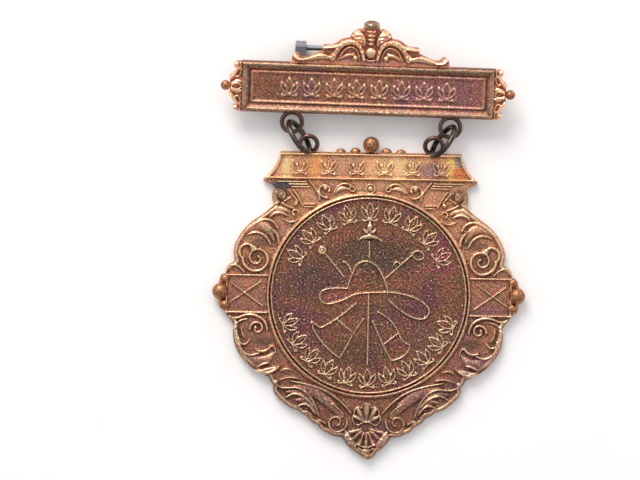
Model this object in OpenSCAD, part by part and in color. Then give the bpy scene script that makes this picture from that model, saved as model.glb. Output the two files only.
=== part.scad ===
// Two-part firefighter badge: a pin bar and a shield-shaped pendant on two jump rings, lying face up.
// Millimetres. X runs along the bar, Y up the badge, Z out of its face. The surface that it lies on is Z = 0,
// and the origin is under the centre of the medallion.

/* [Pendant] */
// Width over the two side knobs
pendant_w = 42; // [34:0.5:60]
// Thickness of the struck plate at its field
plate_t = 1; // [0.8:0.1:2]
// Radius of the medallion to the middle of its outer ring line
medallion_r = 13.6; // [11:0.1:17]
// Gap between the middles of the medallion's two ring lines
ring_line_gap = 0.5; // [0.4:0.05:0.9]
// Height of the raised lines above the field
relief_h = 0.45; // [0.2:0.05:0.8]
// Width of a raised outline
line_w = 0.26; // [0.2:0.02:0.4]
// Number of motifs over the top of the medallion
upper_motifs = 9; // [5:1:11]
// Number of motifs under the medallion's centre
lower_motifs = 11; // [5:1:13]
// Number of motifs along the cornice
cornice_motifs = 6; // [2:1:8]

/* [Top bar] */
// Length of the bar's body
bar_l = 34; // [28:0.2:46]
// Height of the bar's body, from lower to upper edge
bar_h = 6.9; // [5.6:0.1:9]
// Thickness of the bar from its back to the top of its frame
bar_t = 1.3; // [1:0.1:2]
// Width of the frame round the bar's field
frame_w = 1; // [0.7:0.05:1.4]
// Depth of the field below the top of the frame
field_depth = 0.55; // [0.3:0.05:0.7]
// Depth of the hollow in the bar's back
hollow_depth = 0.3; // [0.1:0.05:0.35]
// Number of motifs along the bar
bar_motifs = 8; // [3:1:12]
// Width of the crest along the bar's upper edge
crest_w = 21.6; // [17:0.2:27]
// Height of the crest above the bar's upper edge
crest_h = 5.95; // [5:0.05:8]
// Reach of each end finial past the end of the bar, to the tip of its ball
finial_l = 2.75; // [2.2:0.05:4]

/* [Rings and eyelets] */
// Wire diameter of the jump rings
ring_wire = 0.74; // [0.6:0.02:0.8]
// Diameter of a jump ring to the middle of its wire
ring_d = 4.7; // [4.5:0.05:5]
// Distance from the pendant's axis to the middle of each bar eyelet
bar_eyelet_x = 10.65; // [8:0.05:14]
// Diameter of a bar eyelet to the middle of its wire
bar_eyelet_d = 2.7; // [2.5:0.05:3.4]
// Distance from the bar's lower edge to the middle of each bar eyelet
eyelet_drop = 1.3; // [1.1:0.05:1.4]
// Distance from the pendant's axis to the middle of each pendant eyelet
pendant_eyelet_x = 8.45; // [6.5:0.05:11]
// Diameter of a pendant eyelet to the middle of its wire
pendant_eyelet_d = 2.4; // [2.3:0.05:2.7]
// Wire diameter of the eyelets
eyelet_wire = 0.6; // [0.5:0.02:0.66]
// Angle that the pendant's eyelets are bent up at their outer edge
eyelet_lift = 26; // [24:1:30]

/* [Pin] */
// Distance from the bar's back to the feet of the pin joint and catch
joint_depth = 3.9; // [3.7:0.1:6]
// Distance from the bar's back to the middle of the pin stem
stem_depth = 2.9; // [2.4:0.1:3]
// Height of the pin stem above the middle of the bar
stem_rise = 4.8; // [4.2:0.1:6]
// Diameter of the pin stem
stem_d = 0.7; // [0.5:0.05:0.9]
// Distance from the bar's centre to the pin's hinge
hinge_x = 9.2; // [7:0.1:10]
// Distance from the bar's centre to the middle of the catch
catch_x = 4.8; // [3:0.1:6]
// Length of the stem past the middle of the catch
stem_past_catch = 1.6; // [1:0.1:3]
// Diameter of the hinge rivet
rivet_d = 0.6; // [0.4:0.05:0.8]
// Radial clearance of the rivet in the stem's eye and in the joint's ears
rivet_gap = 0.04; // [0.02:0.01:0.08]
// Clearance on each side of the stem's eye, between the ears
eye_gap = 0.06; // [0.03:0.01:0.15]

/* [How it lies] */
// Gap between the pendant's upper edge and the bar's lower edge, seen from above
hang_gap = 5.1; // [5:0.1:5.3]
// Distance that the middle of the bar lies to the left of the pendant's axis
bar_shift = 0.6; // [0:0.1:1]
// Distance that the crest sits to the right of the middle of the bar
crest_shift = 0.2; // [0:0.1:0.5]
// Tilt of the bar, whose upper edge is held up by the pin joint
bar_tilt = 14; // [8:1:20]
// Turn of the bar in the plane of the surface, clockwise seen from above
bar_turn = 1; // [0:0.5:3]
// Lean of the jump rings from upright
ring_lean = 18; // [8:1:24]

/* [Hidden] */

bronze = "#8a5a40";
dark_wire = "#4a4038";
steel = "#8d8f94";

// How far a raised shape is sunk into what carries it
sink = 0.15;
// Raised lines that pass closer than twice this run together
soften = 0.04;
// Pieces of a curve between two table points
curve_steps = 6;
// Degrees between the points of a scroll
scroll_step = 30;
bead_sides = 13;
round_fn = 48;

// The pendant is drawn on a grid of 42 parts across its width, and every table below holds such parts
part = pendant_w / 42;

// Right half of the pendant's outline from the top down: x, y, and how far the line to the next point bulges out
outline_bulge = 2;
pendant_outline = [
    [0, 19.3, 0],
    [12.2, 19.3, -0.45],
    [14.5, 15.5, 0.1],
    [13.6, 14.9, -0.1],
    [12.9, 14.3, 0.35],
    [12.9, 12.1, -0.1],
    [15.4, 10.1, 0.25],
    [17.9, 7.2, 0.3],
    [18.1, 4.4, 0],
    [18.5, 4.1, 0.2],
    [19.3, 3.1, 0],
    [19.3, 2.5, 0],
    [19.9, 2.2, 0.15],
    [20.2, 1.1, 0],
    [20.2, -0.8, 0.15],
    [19.9, -1.9, 0],
    [19.3, -2.5, 0.1],
    [18.7, -3.3, 0],
    [18.1, -4.2, 0.45],
    [17.2, -8.3, 0.4],
    [13.3, -11.2, 0.05],
    [12.6, -12.3, 0.25],
    [12.1, -13.8, 0.05],
    [11, -14.8, 0.15],
    [9.3, -15.6, 0.1],
    [8, -16.4, 0.2],
    [6.5, -17.6, 0.2],
    [5.2, -18.6, 0.2],
    [3.3, -19.1, 0.2],
    [1.4, -21.1, 0.3],
    [0, -22.1, 0]
];

// Right half of the cornice panel
cornice_top = 19;
cornice_foot = 15.6;
cornice_panel = [[0, 19.3, 0], [12.2, 19.3, -0.45], [14.5, 15.5, 0], [0, 15.5, 0]];

// Scrolls of the right half: centre, radius and angle at both ends, and width at both ends
scroll_x = 0;
scroll_y = 1;
scroll_r0 = 2;
scroll_r1 = 3;
scroll_a0 = 4;
scroll_a1 = 5;
scroll_w0 = 6;
scroll_w1 = 7;
pendant_scrolls = [
    [15.15, 4.8, 1.95, 0.3, 0, -600, 0.4, 0.24],
    [16.4, 5.7, 1.15, 0.9, -35, 150, 0.4, 0.5],
    [14.95, -4.65, 1, 0.28, -10, 400, 0.36, 0.24],
    [4.05, -17.2, 1.45, 0.35, 175, 610, 0.4, 0.24],
    [6.4, 14.25, 0.85, 0.3, -110, 250, 0.26, 0.22],
    [3, 14.5, 0.62, 0.2, 90, -150, 0.28, 0.22],
    [12.1, 13.25, 0.62, 0.35, -60, 200, 0.4, 0.3],
    [10.05, 11, 0.45, 0.35, 180, -60, 0.24, 0.24]
];

// Leaf edges and tendrils of the right half: four points of a cubic curve, then width at the start, middle and end
vein_w0 = 8;
vein_wm = 9;
vein_w1 = 10;
pendant_veins = [
    [15.6, 9.3, 14.5, 10.4, 12.9, 10.3, 12.4, 8.9, 0.2, 0.36, 0.3],
    [12.4, 8.9, 12.9, 8.1, 12.2, 7.4, 12.5, 6.7, 0.3, 0.3, 0.2],
    [16.5, 7.9, 15.2, 8.7, 13.9, 8.2, 13.3, 6.6, 0.2, 0.36, 0.3],
    [13.5, 10.4, 12.7, 11.1, 11.8, 11.1, 11.1, 10.6, 0.2, 0.5, 0.2],
    [11.7, 10.1, 10.9, 9.6, 10.3, 9.6, 9.7, 10.2, 0.2, 0.28, 0.2],
    [12.2, 12.5, 11.4, 12.4, 10.7, 12.1, 10.3, 11.5, 0.3, 0.36, 0.2],
    [11.5, 11.8, 11.2, 12.2, 11, 12.6, 10.9, 13, 0.2, 0.3, 0.2],
    [11.2, 14.2, 10.3, 13.5, 9.7, 12.6, 9.5, 11.3, 0.24, 0.24, 0.24],
    [8.8, 15.4, 8, 14.6, 7.5, 13.6, 7.4, 12.4, 0.24, 0.24, 0.24],
    [6.8, 12.7, 5.2, 13.2, 4.6, 14.8, 3, 15.12, 0.2, 0.34, 0.28],
    [5.2, 13.6, 4.7, 14.2, 4.3, 14.3, 3.9, 14.1, 0.2, 0.34, 0.2],
    [19.2, 3, 18.9, 4.2, 17.9, 4.2, 16.8, 2.9, 0.24, 0.3, 0.24],
    [18.7, -3, 18.2, -3.5, 17.6, -3.3, 17, -3, 0.24, 0.4, 0.3],
    [17, -3, 15.6, -2.5, 13.6, -3, 13.6, -5, 0.3, 0.44, 0.24],
    [17.9, -4.2, 17.4, -3.6, 16.9, -3.5, 16.3, -3.4, 0.2, 0.28, 0.2],
    [17.1, -4.6, 17, -5.2, 16.9, -5.7, 16.5, -6, 0.2, 0.3, 0.2],
    [17.4, -6, 17.3, -7, 16.4, -7.1, 16, -6.3, 0.24, 0.4, 0.24],
    [17.3, -6.9, 16.9, -8.1, 15.9, -8.6, 14.7, -8, 0.2, 0.6, 0.24],
    [14.9, -7.6, 14.3, -8, 13.5, -7.7, 13, -7, 0.2, 0.5, 0.24],
    [13, -7, 12.6, -6.9, 12.4, -7.4, 12.4, -8, 0.24, 0.3, 0.2],
    [14.8, -9.9, 14.3, -9.5, 13.8, -9.4, 13.3, -9.3, 0.2, 0.36, 0.2],
    [16.2, -9.5, 15, -11, 12.9, -11.2, 11.9, -9.7, 0.24, 0.4, 0.24],
    [11.7, -10.4, 11.1, -9.9, 10.6, -10, 10.1, -10.3, 0.2, 0.34, 0.2],
    [11.8, -11.6, 10.9, -11.1, 10, -11.1, 9.2, -11.4, 0.2, 0.36, 0.2],
    [10.4, -11.8, 7.6, -11.8, 4.6, -13, 2.6, -16.2, 0.24, 0.5, 0.4],
    [9, -12.5, 7, -12.9, 5, -14, 3.9, -15.7, 0.2, 0.28, 0.2],
    [11.6, -12.8, 9.2, -12.3, 7.2, -13.7, 6.5, -16.2, 0.24, 0.44, 0.3],
    [11, -14, 9.6, -13.3, 8, -13.5, 7.1, -15.4, 0.24, 0.44, 0.3],
    [9.4, -15, 8.7, -14.6, 8.1, -14.7, 7.8, -15.5, 0.24, 0.4, 0.24]
];

// Raised beads of the pendant's right half: x, y, radius
pendant_beads = [
    [17.9, -4.6, 0.3],
    [12.3, -11.8, 0.34],
    [6.4, -17, 0.36],
    [10.1, 12.2, 0.24],
    [1.1, 14.75, 0.24],
    [1.2, -15.5, 0.55]
];

// Straight raised lines of the right half: from x, y to x, y, and width
pendant_rules = [
    [13.7, 2.5, 19.3, 2.5, 0.36],
    [13.7, -2.5, 19.3, -2.5, 0.36],
    [19.15, 2.5, 19.15, -2.5, 0.2],
    [18.7, -1.2, 14.5, 1.7, 0.22],
    [18.5, 1.4, 14.2, -1.7, 0.22],
    [9.1, 15.15, 12.9, 15.15, 0.14],
    [9.4, 14.8, 12.2, 14.8, 0.14],
    [9.7, 14.45, 11.5, 14.45, 0.14],
    [7.9, 12.6, 9.4, 12.6, 0.14],
    [8, 12.25, 9.4, 12.25, 0.14]
];

// Lines of the emblem inside the medallion, whole and not mirrored: the same columns as the leaf edges
emblem_curves = [
    [-2.1, 3.2, -1.7, 5.1, 0.7, 5.2, 1.7, 3, 0.26, 0.34, 0.26],
    [1.7, 3, 2.1, 2.2, 2.5, 1.2, 2.6, 0.2, 0.26, 0.3, 0.26],
    [-2.1, 3.2, -2.5, 2.4, -2.7, 1.6, -2.9, 0.9, 0.26, 0.3, 0.26],
    [-2.9, 0.9, -4.6, 1, -6.7, 1, -6.6, -0.2, 0.26, 0.34, 0.3],
    [-6.6, -0.2, -6.4, -2, -4, -1, -2.4, -0.1, 0.3, 0.34, 0.26],
    [-2.4, -0.1, -1.4, 0.5, 1.2, 0.4, 2.6, 0.5, 0.26, 0.3, 0.26],
    [2.6, 0.5, 5.4, 0.4, 8, -0.6, 8.2, -2, 0.26, 0.34, 0.3],
    [8.2, -2, 8, -3.9, 5.4, -3.2, 2.8, -0.6, 0.3, 0.34, 0.26],
    [-1.5, 7.4, -0.9, 8.4, 0.9, 8.4, 1.7, 7.3, 0.2, 0.3, 0.2],
    [-7.8, -3.9, -7.2, -3.4, -6.9, -4.5, -6.3, -4.4, 0.24, 0.28, 0.24],
    [-6.3, -4.4, -4.6, -3.6, -3.4, -2.6, -1.7, -1.1, 0.24, 0.28, 0.24],
    [-7.5, -4.3, -6.6, -6.3, -5.4, -7.3, -3.8, -8.5, 0.24, 0.3, 0.24],
    [-3.8, -8.5, -2.9, -7.4, -2.4, -5.4, -0.6, -3.2, 0.24, 0.28, 0.24],
    [1.3, -2.2, 3.2, -3, 3.9, -4.4, 4.3, -5.4, 0.24, 0.28, 0.24],
    [4.3, -5.4, 4.6, -6.2, 5.2, -6.4, 5.7, -6.6, 0.24, 0.28, 0.24],
    [3.2, -8.7, 4.6, -8.5, 5.6, -7.7, 5.7, -6.6, 0.24, 0.3, 0.24],
    [0.6, -3.4, 1.3, -5, 2, -6.8, 3.2, -8.7, 0.24, 0.28, 0.24]
];
emblem_rules = [
    [0, 8.9, 0, 4.9, 0.3],
    [0, 0.2, 0, -9.3, 0.3],
    [-6, 5.6, -3.3, 2.4, 0.3],
    [5.8, 5.6, 2.3, 2.4, 0.3],
    [-4.3, -3.2, -2.2, -4.9, 0.22],
    [4, -5.1, 2.2, -6.5, 0.22]
];
// Rings of the trumpets' mouthpieces: x, y, radius
emblem_rings = [[-6.35, 6, 0.5], [6.3, 6, 0.6], [3.9, 4.2, 0.4]];

// Right half of the crest's outline, as shares of half its width and of its height
crest_outline = [
    [0, 1, 0.01],
    [0.07, 0.97, 0.02],
    [0.1, 0.89, 0.01],
    [0.09, 0.83, 0],
    [0.12, 0.81, 0.02],
    [0.19, 0.77, 0.02],
    [0.25, 0.67, 0.01],
    [0.26, 0.61, 0],
    [0.32, 0.59, 0.02],
    [0.43, 0.48, 0],
    [0.56, 0.43, 0.01],
    [0.61, 0.39, 0.01],
    [0.59, 0.31, 0],
    [0.7, 0.21, -0.01],
    [0.81, 0.14, 0],
    [0.87, 0.17, 0.01],
    [0.9, 0.23, 0.02],
    [0.95, 0.18, 0.02],
    [0.98, 0.05, 0],
    [1, 0, 0]
];
// Raised lines of the crest's right half, in the same shares, with widths as shares of the crest's height
crest_veins = [
    [0.07, 0.12, 0.08, 0.72, 0.42, 0.72, 0.5, 0.1, 0.05, 0.08, 0.05],
    [0.1, 0.12, 0.12, 0.62, 0.36, 0.62, 0.45, 0.1, 0.04, 0.06, 0.04],
    [0.15, 0.27, 0.25, 0.27, 0.33, 0.22, 0.37, 0.14, 0.04, 0.08, 0.04],
    [0.44, 0.39, 0.49, 0.42, 0.55, 0.37, 0.6, 0.39, 0.04, 0.07, 0.05],
    [0.51, 0.15, 0.57, 0.29, 0.67, 0.2, 0.81, 0.11, 0.04, 0.08, 0.05],
    [0.81, 0.11, 0.86, 0.08, 0.93, 0.08, 0.95, 0.17, 0.04, 0.07, 0.05],
    [0.08, 0.56, 0.12, 0.56, 0.2, 0.6, 0.25, 0.64, 0.05, 0.08, 0.05],
    [0.08, 0.72, 0.12, 0.72, 0.18, 0.72, 0.2, 0.75, 0.05, 0.08, 0.05]
];
// Domed beads up the middle of the crest: height and radius, as shares of its height
crest_beads = [[0.29, 0.13], [0.5, 0.08], [0.6, 0.08], [0.69, 0.08], [0.78, 0.08], [0.9, 0.13]];
// Domed beads beside it: share of half its width, share of its height, and radius as a share of its height
crest_side_beads = [[0.91, 0.14, 0.07], [0.19, 0.15, 0.07]];

// Upper half of an end finial's outline: reach past the bar as a share of the finial, height as a share of half the bar
finial_outline = [
    [-0.2, 0.98, 0],
    [0.05, 0.99, 0.02],
    [0.29, 0.96, 0.03],
    [0.42, 0.86, 0.03],
    [0.35, 0.75, 0],
    [0.29, 0.7, -0.01],
    [0.44, 0.52, 0.02],
    [0.58, 0.36, 0.01],
    [0.56, 0.23, 0],
    [0.54, 0.1, 0]
];
// Raised lines on the upper half of an end finial, in the same shares, with widths as shares of the finial
finial_veins = [
    [0.2, 0.8, 0.15, 0.62, 0.32, 0.52, 0.5, 0.3, 0.06, 0.1, 0.08],
    [0.02, 0.6, 0.05, 0.35, 0.25, 0.3, 0.3, 0.42, 0.06, 0.08, 0.06],
    [0, 0.02, 0.15, 0.14, 0.3, 0.14, 0.5, 0.02, 0.06, 0.08, 0.06]
];
// Curled corner of a finial: reach, height and radius, in the same shares, the radius as one of the finial
finial_curl = [0.3, 0.87, 0.13];

// Shares of a motif's height: the three petals' lean, length and width
motif_petals = [[-38, 0.72, 0.2], [0, 1, 0.26], [38, 0.72, 0.2]];
motif_foot = 0.1;
// Heights of the motifs on the bar, the cornice and the medallion
bar_motif_h = 0.36 * bar_h;
cornice_motif_h = 2.3 * part;
medallion_motif_h = 0.19 * medallion_r;
// Distances between the first and the last motif on the bar and on the cornice
bar_motif_span = 0.62 * bar_l;
cornice_motif_span = 19 * part;
// Angles that the medallion's upper and lower motifs spread over
upper_spread = 124;
lower_spread = 140;
motif_ring_r = 0.735 * medallion_r;

function mirrored(rows) = [
    for (row = rows) row,
    for (i = [len(rows) - 1:-1:0]) if (rows[i].x > 0) [-rows[i].x, rows[i].y, i > 0 ? rows[i - 1][outline_bulge] : 0]
];
function across(p, q) = [p.y - q.y, q.x - p.x] / max(norm(q - p), 0.001);
function bulged(rows) = [
    for (i = [0:len(rows) - 1])
        let (
            p = [rows[i].x, rows[i].y],
            next = rows[(i + 1) % len(rows)],
            q = [next.x, next.y],
            bulge = rows[i][outline_bulge],
            steps = bulge == 0 ? 1 : curve_steps / 2
        )
        for (k = [0:steps - 1])
            let (t = k / steps)
            p + (q - p) * t + across(p, q) * 4 * bulge * t * (1 - t)
];
function scaled(rows, sx, sy, s) = [for (row = rows) [row.x * sx, row.y * sy, row[outline_bulge] * s]];

function vein_point(row, t) =
    let (
        a = [row[0], row[1]],
        b = [row[2], row[3]],
        c = [row[4], row[5]],
        d = [row[6], row[7]]
    )
    a * pow(1 - t, 3) + 3 * b * t * pow(1 - t, 2) + 3 * c * t * t * (1 - t) + d * pow(t, 3);
function vein_path(row) = [for (k = [0:curve_steps]) vein_point(row, k / curve_steps)];
function vein_width(row, t) =
    row[vein_w0] * (1 - t) * (1 - 2 * t) + row[vein_wm] * 4 * t * (1 - t) + row[vein_w1] * t * (2 * t - 1);

function scroll_path(row) =
    let (
        turn = row[scroll_a1] - row[scroll_a0],
        steps = ceil(abs(turn) / scroll_step)
    )
    [
        for (k = [0:steps])
            let (
                t = k / steps,
                a = row[scroll_a0] + turn * t,
                r = row[scroll_r0] + (row[scroll_r1] - row[scroll_r0]) * t
            )
            [row[scroll_x] + r * cos(a), row[scroll_y] + r * sin(a)]
    ];

// A line of changing width along a path
module stroke(path, widths) {
    last = len(path) - 1;
    sides = [
        for (i = [0:last])
            across(path[max(i - 1, 0)], path[min(i + 1, last)]) * widths[i] / 2
    ];
    polygon([
        for (i = [0:last]) path[i] + sides[i],
        for (i = [last:-1:0]) path[i] - sides[i]
    ]);
}

module vein(row) {
    stroke(vein_path(row), [for (k = [0:curve_steps]) vein_width(row, k / curve_steps)]);
}

module scroll(row) {
    path = scroll_path(row);
    last = len(path) - 1;
    stroke(path, [for (k = [0:last]) row[scroll_w0] + (row[scroll_w1] - row[scroll_w0]) * k / last]);
    translate(path[last]) circle(d = row[scroll_w1] * 1.5, $fn = bead_sides);
}

module rule(row) {
    stroke([[row[0], row[1]], [row[2], row[3]]], [row[4], row[4]]);
}

module both_sides() {
    children();
    mirror([1, 0]) children();
}

module above_and_below() {
    children();
    mirror([0, 1]) children();
}

// A bud of three petals over a short foot, which stands in each place along the bands
module motif(h) {
    for (petal = motif_petals) {
        lean = petal[0];
        tip = h * petal[1];
        half = h * petal[2] / 2;
        rotate(-lean) polygon([[0, 0], [half, tip * 0.45], [half * 0.7, tip * 0.8], [0, tip],
            [-half * 0.7, tip * 0.8], [-half, tip * 0.45]]);
    }
    translate([-h * 0.26, -h * motif_foot]) square([h * 0.52, h * motif_foot * 1.6]);
}

module motif_row(count, span, h) {
    for (i = [0:count - 1])
        translate([span * (i / (count - 1) - 0.5), -h / 2 + h * motif_foot / 2]) motif(h);
}

module motif_arc(count, spread, outward) {
    for (i = [0:count - 1]) {
        a = spread * (i / (count - 1) - 0.5);
        rotate(-a) translate([0, outward * motif_ring_r - (outward > 0 ? 0 : medallion_motif_h)])
            motif(medallion_motif_h);
    }
}

module pendant_shape() {
    scale(part) polygon(bulged(mirrored(pendant_outline)));
}

module cornice_shape() {
    scale(part) polygon(bulged(mirrored(cornice_panel)));
}

module ring_line(r) {
    difference() {
        circle(r = r + line_w / 2, $fn = round_fn * 1.5);
        circle(r = r - line_w / 2, $fn = round_fn * 1.5);
    }
}

// Helmet, crossed trumpets and pike pole, drawn in raised outline
module emblem() {
    scale(medallion_r / 13.6) {
        for (row = emblem_curves) vein(row);
        for (row = emblem_rules) rule(row);
        for (row = emblem_rings)
            translate([row.x, row.y]) difference() {
                circle(r = row[2] + 0.12, $fn = bead_sides);
                circle(r = row[2] - 0.12, $fn = bead_sides);
            }
        polygon([[-0.35, 8.6], [0, 9.8], [0.35, 8.6]]);
    }
}

module scrollwork() {
    both_sides() {
        scale(part) {
            for (row = pendant_scrolls) scroll(row);
            for (row = pendant_veins) vein(row);
            for (row = pendant_rules) rule(row);
            for (row = pendant_beads) translate([row.x, row.y]) circle(r = row[2], $fn = bead_sides);
        }
    }
}

// The three-lobed rosette and the ribbed shell at the foot of the pendant
module foot_shell() {
    ribs = 7;
    scale(part) {
        translate([0, -14.9]) circle(r = 0.6, $fn = bead_sides);
        translate([0, -16]) difference() {
            circle(r = 1.35, $fn = 24);
            circle(r = 1.05, $fn = 24);
        }
        for (i = [0:ribs - 1]) {
            a = -90 + 112 * (i / (ribs - 1) - 0.5);
            reach = 3.7 - 1.3 * abs(i / (ribs - 1) - 0.5) * 2;
            translate([0, -18]) rotate(a) stroke([[0.5, 0], [reach / 2 + 0.2, 0], [reach, 0]], [0.2, 0.42, 0.5]);
        }
    }
}

module cornice_lines() {
    difference() {
        offset(delta = -0.12) cornice_shape();
        offset(delta = -0.12 - line_w * 1.2) cornice_shape();
    }
}

module pendant_lines() {
    offset(delta = -soften) offset(delta = soften) intersection() {
        offset(delta = -0.1) pendant_shape();
        union() {
            scrollwork();
            foot_shell();
            cornice_lines();
            ring_line(medallion_r);
            ring_line(medallion_r - ring_line_gap);
            emblem();
            motif_arc(upper_motifs, upper_spread, 1);
            motif_arc(lower_motifs, lower_spread, -1);
            translate([0, (cornice_top + cornice_foot) / 2 * part])
                motif_row(cornice_motifs, cornice_motif_span, cornice_motif_h);
        }
    }
}

module wire_ring(d, wire) {
    rotate_extrude($fn = round_fn) translate([d / 2, 0]) circle(d = wire, $fn = 24);
}

// Side knobs, and the beads along the top of the cornice: x, y and radius in parts
side_knobs = [[20.1, 0.15, 0.9], [19.85, 1.75, 0.55], [19.85, -1.5, 0.6]];
top_beads = [[2.1, 19.2, 0.72], [4.05, 19.05, 0.72]];
crown_bead = [0, 20.35, 1.1];

module knob(row) {
    r = row[2] * part;
    translate([row.x * part, row.y * part, max(plate_t * 0.7, r + 0.05)]) sphere(r = r, $fn = 24);
}

// Where a pendant eyelet is soldered on, and how far up it the jump ring crosses its hole
pendant_top = 19.3 * part;
eyelet_root_y = pendant_top - eyelet_wire / 6;
eyelet_root_z = plate_t * 0.85;
eyelet_crossing = 0.46 * pendant_eyelet_d;

module pendant_eyelet() {
    translate([pendant_eyelet_x, eyelet_root_y, eyelet_root_z]) rotate([eyelet_lift, 0, 0])
        translate([0, pendant_eyelet_d / 2, 0]) wire_ring(pendant_eyelet_d, eyelet_wire);
}

module pendant() {
    color(bronze) {
        linear_extrude(plate_t) pendant_shape();
        translate([0, 0, plate_t - sink]) linear_extrude(sink + relief_h) pendant_lines();
        for (side = [0, 1]) mirror([side, 0, 0]) {
            for (row = side_knobs) knob(row);
            for (row = top_beads) knob(row);
            pendant_eyelet();
        }
        knob(crown_bead);
    }
}

// Thickness of the pin joint's ears, and the gap between them
ear_t = 0.35;
ear_gap = 0.85;
// Where the bar lies: its back is at bar_y, bar_z on the pendant's axis, and its lower ear's feet touch the surface
foot_rise = stem_rise - ear_gap / 2 - ear_t;
bar_y = pendant_top + hang_gap + bar_h / 2 * cos(bar_tilt);
bar_z = joint_depth * cos(bar_tilt) - foot_rise * sin(bar_tilt);

module place_bar() {
    translate([0, bar_y, bar_z]) rotate([0, 0, -bar_turn]) rotate([bar_tilt, 0, 0])
        translate([-bar_shift, 0, 0]) children();
}

// A slab with four mitred slopes, from size l by h at its foot to less by the inset on each side at its top
module mitred_slab(l, h, z0, z1, inset) {
    intersection() {
        rotate([90, 0, 90]) translate([0, 0, -l]) linear_extrude(2 * l)
            polygon([[-h / 2, z0], [h / 2, z0], [h / 2 - inset, z1], [-h / 2 + inset, z1]]);
        rotate([90, 0, 0]) translate([0, 0, -h]) linear_extrude(2 * h)
            polygon([[-l / 2, z0], [l / 2, z0], [l / 2 - inset, z1], [-l / 2 + inset, z1]]);
    }
}

bevel = frame_w * 0.4;
field_z = bar_t - field_depth;
bead_w = 0.28;
groove_w = 0.25;

module bar_body() {
    field_l = bar_l - 2 * frame_w;
    field_h = bar_h - 2 * frame_w;
    difference() {
        union() {
            translate([-bar_l / 2, -bar_h / 2, 0]) cube([bar_l, bar_h, bar_t / 2]);
            mitred_slab(bar_l, bar_h, bar_t / 2, bar_t, bevel);
        }
        mitred_slab(field_l - 0.4, field_h - 0.4, field_z, bar_t + 0.2, -0.2 * (field_depth + 0.2) / field_depth);
        translate([-bar_l / 2 + frame_w, -bar_h / 2 + frame_w, -1])
            cube([field_l, field_h, 1 + hollow_depth]);
    }
    translate([0, 0, field_z - sink]) linear_extrude(sink + field_depth * 0.4) difference() {
        square([field_l - 0.4 - 2 * groove_w, field_h - 0.4 - 2 * groove_w], center = true);
        square([field_l - 0.4 - 2 * groove_w - 2 * bead_w, field_h - 0.4 - 2 * groove_w - 2 * bead_w], center = true);
    }
    translate([0, 0, field_z - sink]) linear_extrude(sink + field_depth * 0.6)
        offset(delta = -soften) offset(delta = soften) motif_row(bar_motifs, bar_motif_span, bar_motif_h);
}

crest_t = bar_t * 0.6;
crest_back = bar_t * 0.15;
crest_foot = bar_h / 2 - 0.4;

module crest_shape() {
    polygon(bulged(mirrored(scaled(crest_outline, crest_w / 2, crest_h, crest_h))));
}

module crest() {
    half = crest_w / 2;
    translate([crest_shift, bar_h / 2, crest_back]) {
        linear_extrude(crest_t) crest_shape();
        translate([-half, -0.4, 0]) cube([crest_w, 0.6, crest_t]);
        translate([0, 0, crest_t - sink]) linear_extrude(sink + relief_h * 0.8) offset(delta = -soften) offset(delta = soften)
            intersection() {
                offset(delta = -0.08) crest_shape();
                both_sides() for (row = crest_veins)
                    stroke(
                        [for (k = [0:curve_steps]) let (p = vein_point(row, k / curve_steps)) [p.x * half, p.y * crest_h]],
                        [for (k = [0:curve_steps]) vein_width(row, k / curve_steps) * crest_h]
                    );
            }
        for (row = crest_beads)
            translate([0, row[0] * crest_h, crest_t]) sphere(r = row[1] * crest_h, $fn = 24);
        for (side = [-1, 1])
            for (row = crest_side_beads)
                translate([side * row.x * half, row.y * crest_h, crest_t - 0.1]) sphere(r = row[2] * crest_h, $fn = 24);
    }
}

finial_ball_r = 0.68;
finial_t = bar_t * 0.55;

module finial_shape() {
    half = scaled(finial_outline, finial_l, bar_h / 2, finial_l);
    rows = [
        for (row = half) row,
        for (i = [len(half) - 1:-1:0]) [half[i].x, -half[i].y, i > 0 ? half[i - 1][outline_bulge] : 0]
    ];
    polygon(bulged(rows));
}

module end_finial() {
    translate([bar_l / 2, 0, bar_t * 0.2]) {
        linear_extrude(finial_t) finial_shape();
        translate([0, 0, finial_t - sink]) linear_extrude(sink + relief_h * 0.7) offset(delta = -soften) offset(delta = soften)
            above_and_below() for (row = finial_veins)
                stroke(
                    [for (k = [0:curve_steps])
                        let (p = vein_point(row, k / curve_steps)) [p.x * finial_l, p.y * bar_h / 2]],
                    [for (k = [0:curve_steps]) vein_width(row, k / curve_steps) * finial_l]
                );
        above_and_below() translate([finial_curl.x * finial_l, finial_curl.y * bar_h / 2, finial_t - 0.1])
            sphere(r = finial_curl.z * finial_l, $fn = 20);
        translate([finial_l - finial_ball_r, 0, finial_t / 2]) sphere(r = finial_ball_r, $fn = 24);
    }
}

bar_eyelet_v = -bar_h / 2 - eyelet_drop;
bar_eyelet_w = bar_t * 0.48;

module bar_eyelet(side) {
    translate([bar_shift + side * bar_eyelet_x, bar_eyelet_v, bar_eyelet_w]) wire_ring(bar_eyelet_d, eyelet_wire);
}

joint_w = 1.45;
base_t = 0.45;
eye_w = ear_gap - 2 * eye_gap;
eye_r = 0.66;

// One ear of the pin joint, with two rounded feet, drawn in the plane of the stem's swing
module ear_shape() {
    foot_r = joint_w * 0.24;
    difference() {
        union() {
            translate([-joint_w / 2, -joint_depth + foot_r]) square([joint_w, joint_depth - foot_r]);
            for (side = [-1, 1])
                translate([side * (joint_w / 2 - foot_r), -joint_depth + foot_r]) circle(r = foot_r, $fn = 24);
        }
        translate([0, -stem_depth]) circle(d = rivet_d + 2 * rivet_gap, $fn = 24);
    }
}

module ear(v) {
    translate([0, v + ear_t, 0]) rotate([90, 0, 0]) linear_extrude(ear_t) ear_shape();
}

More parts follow.
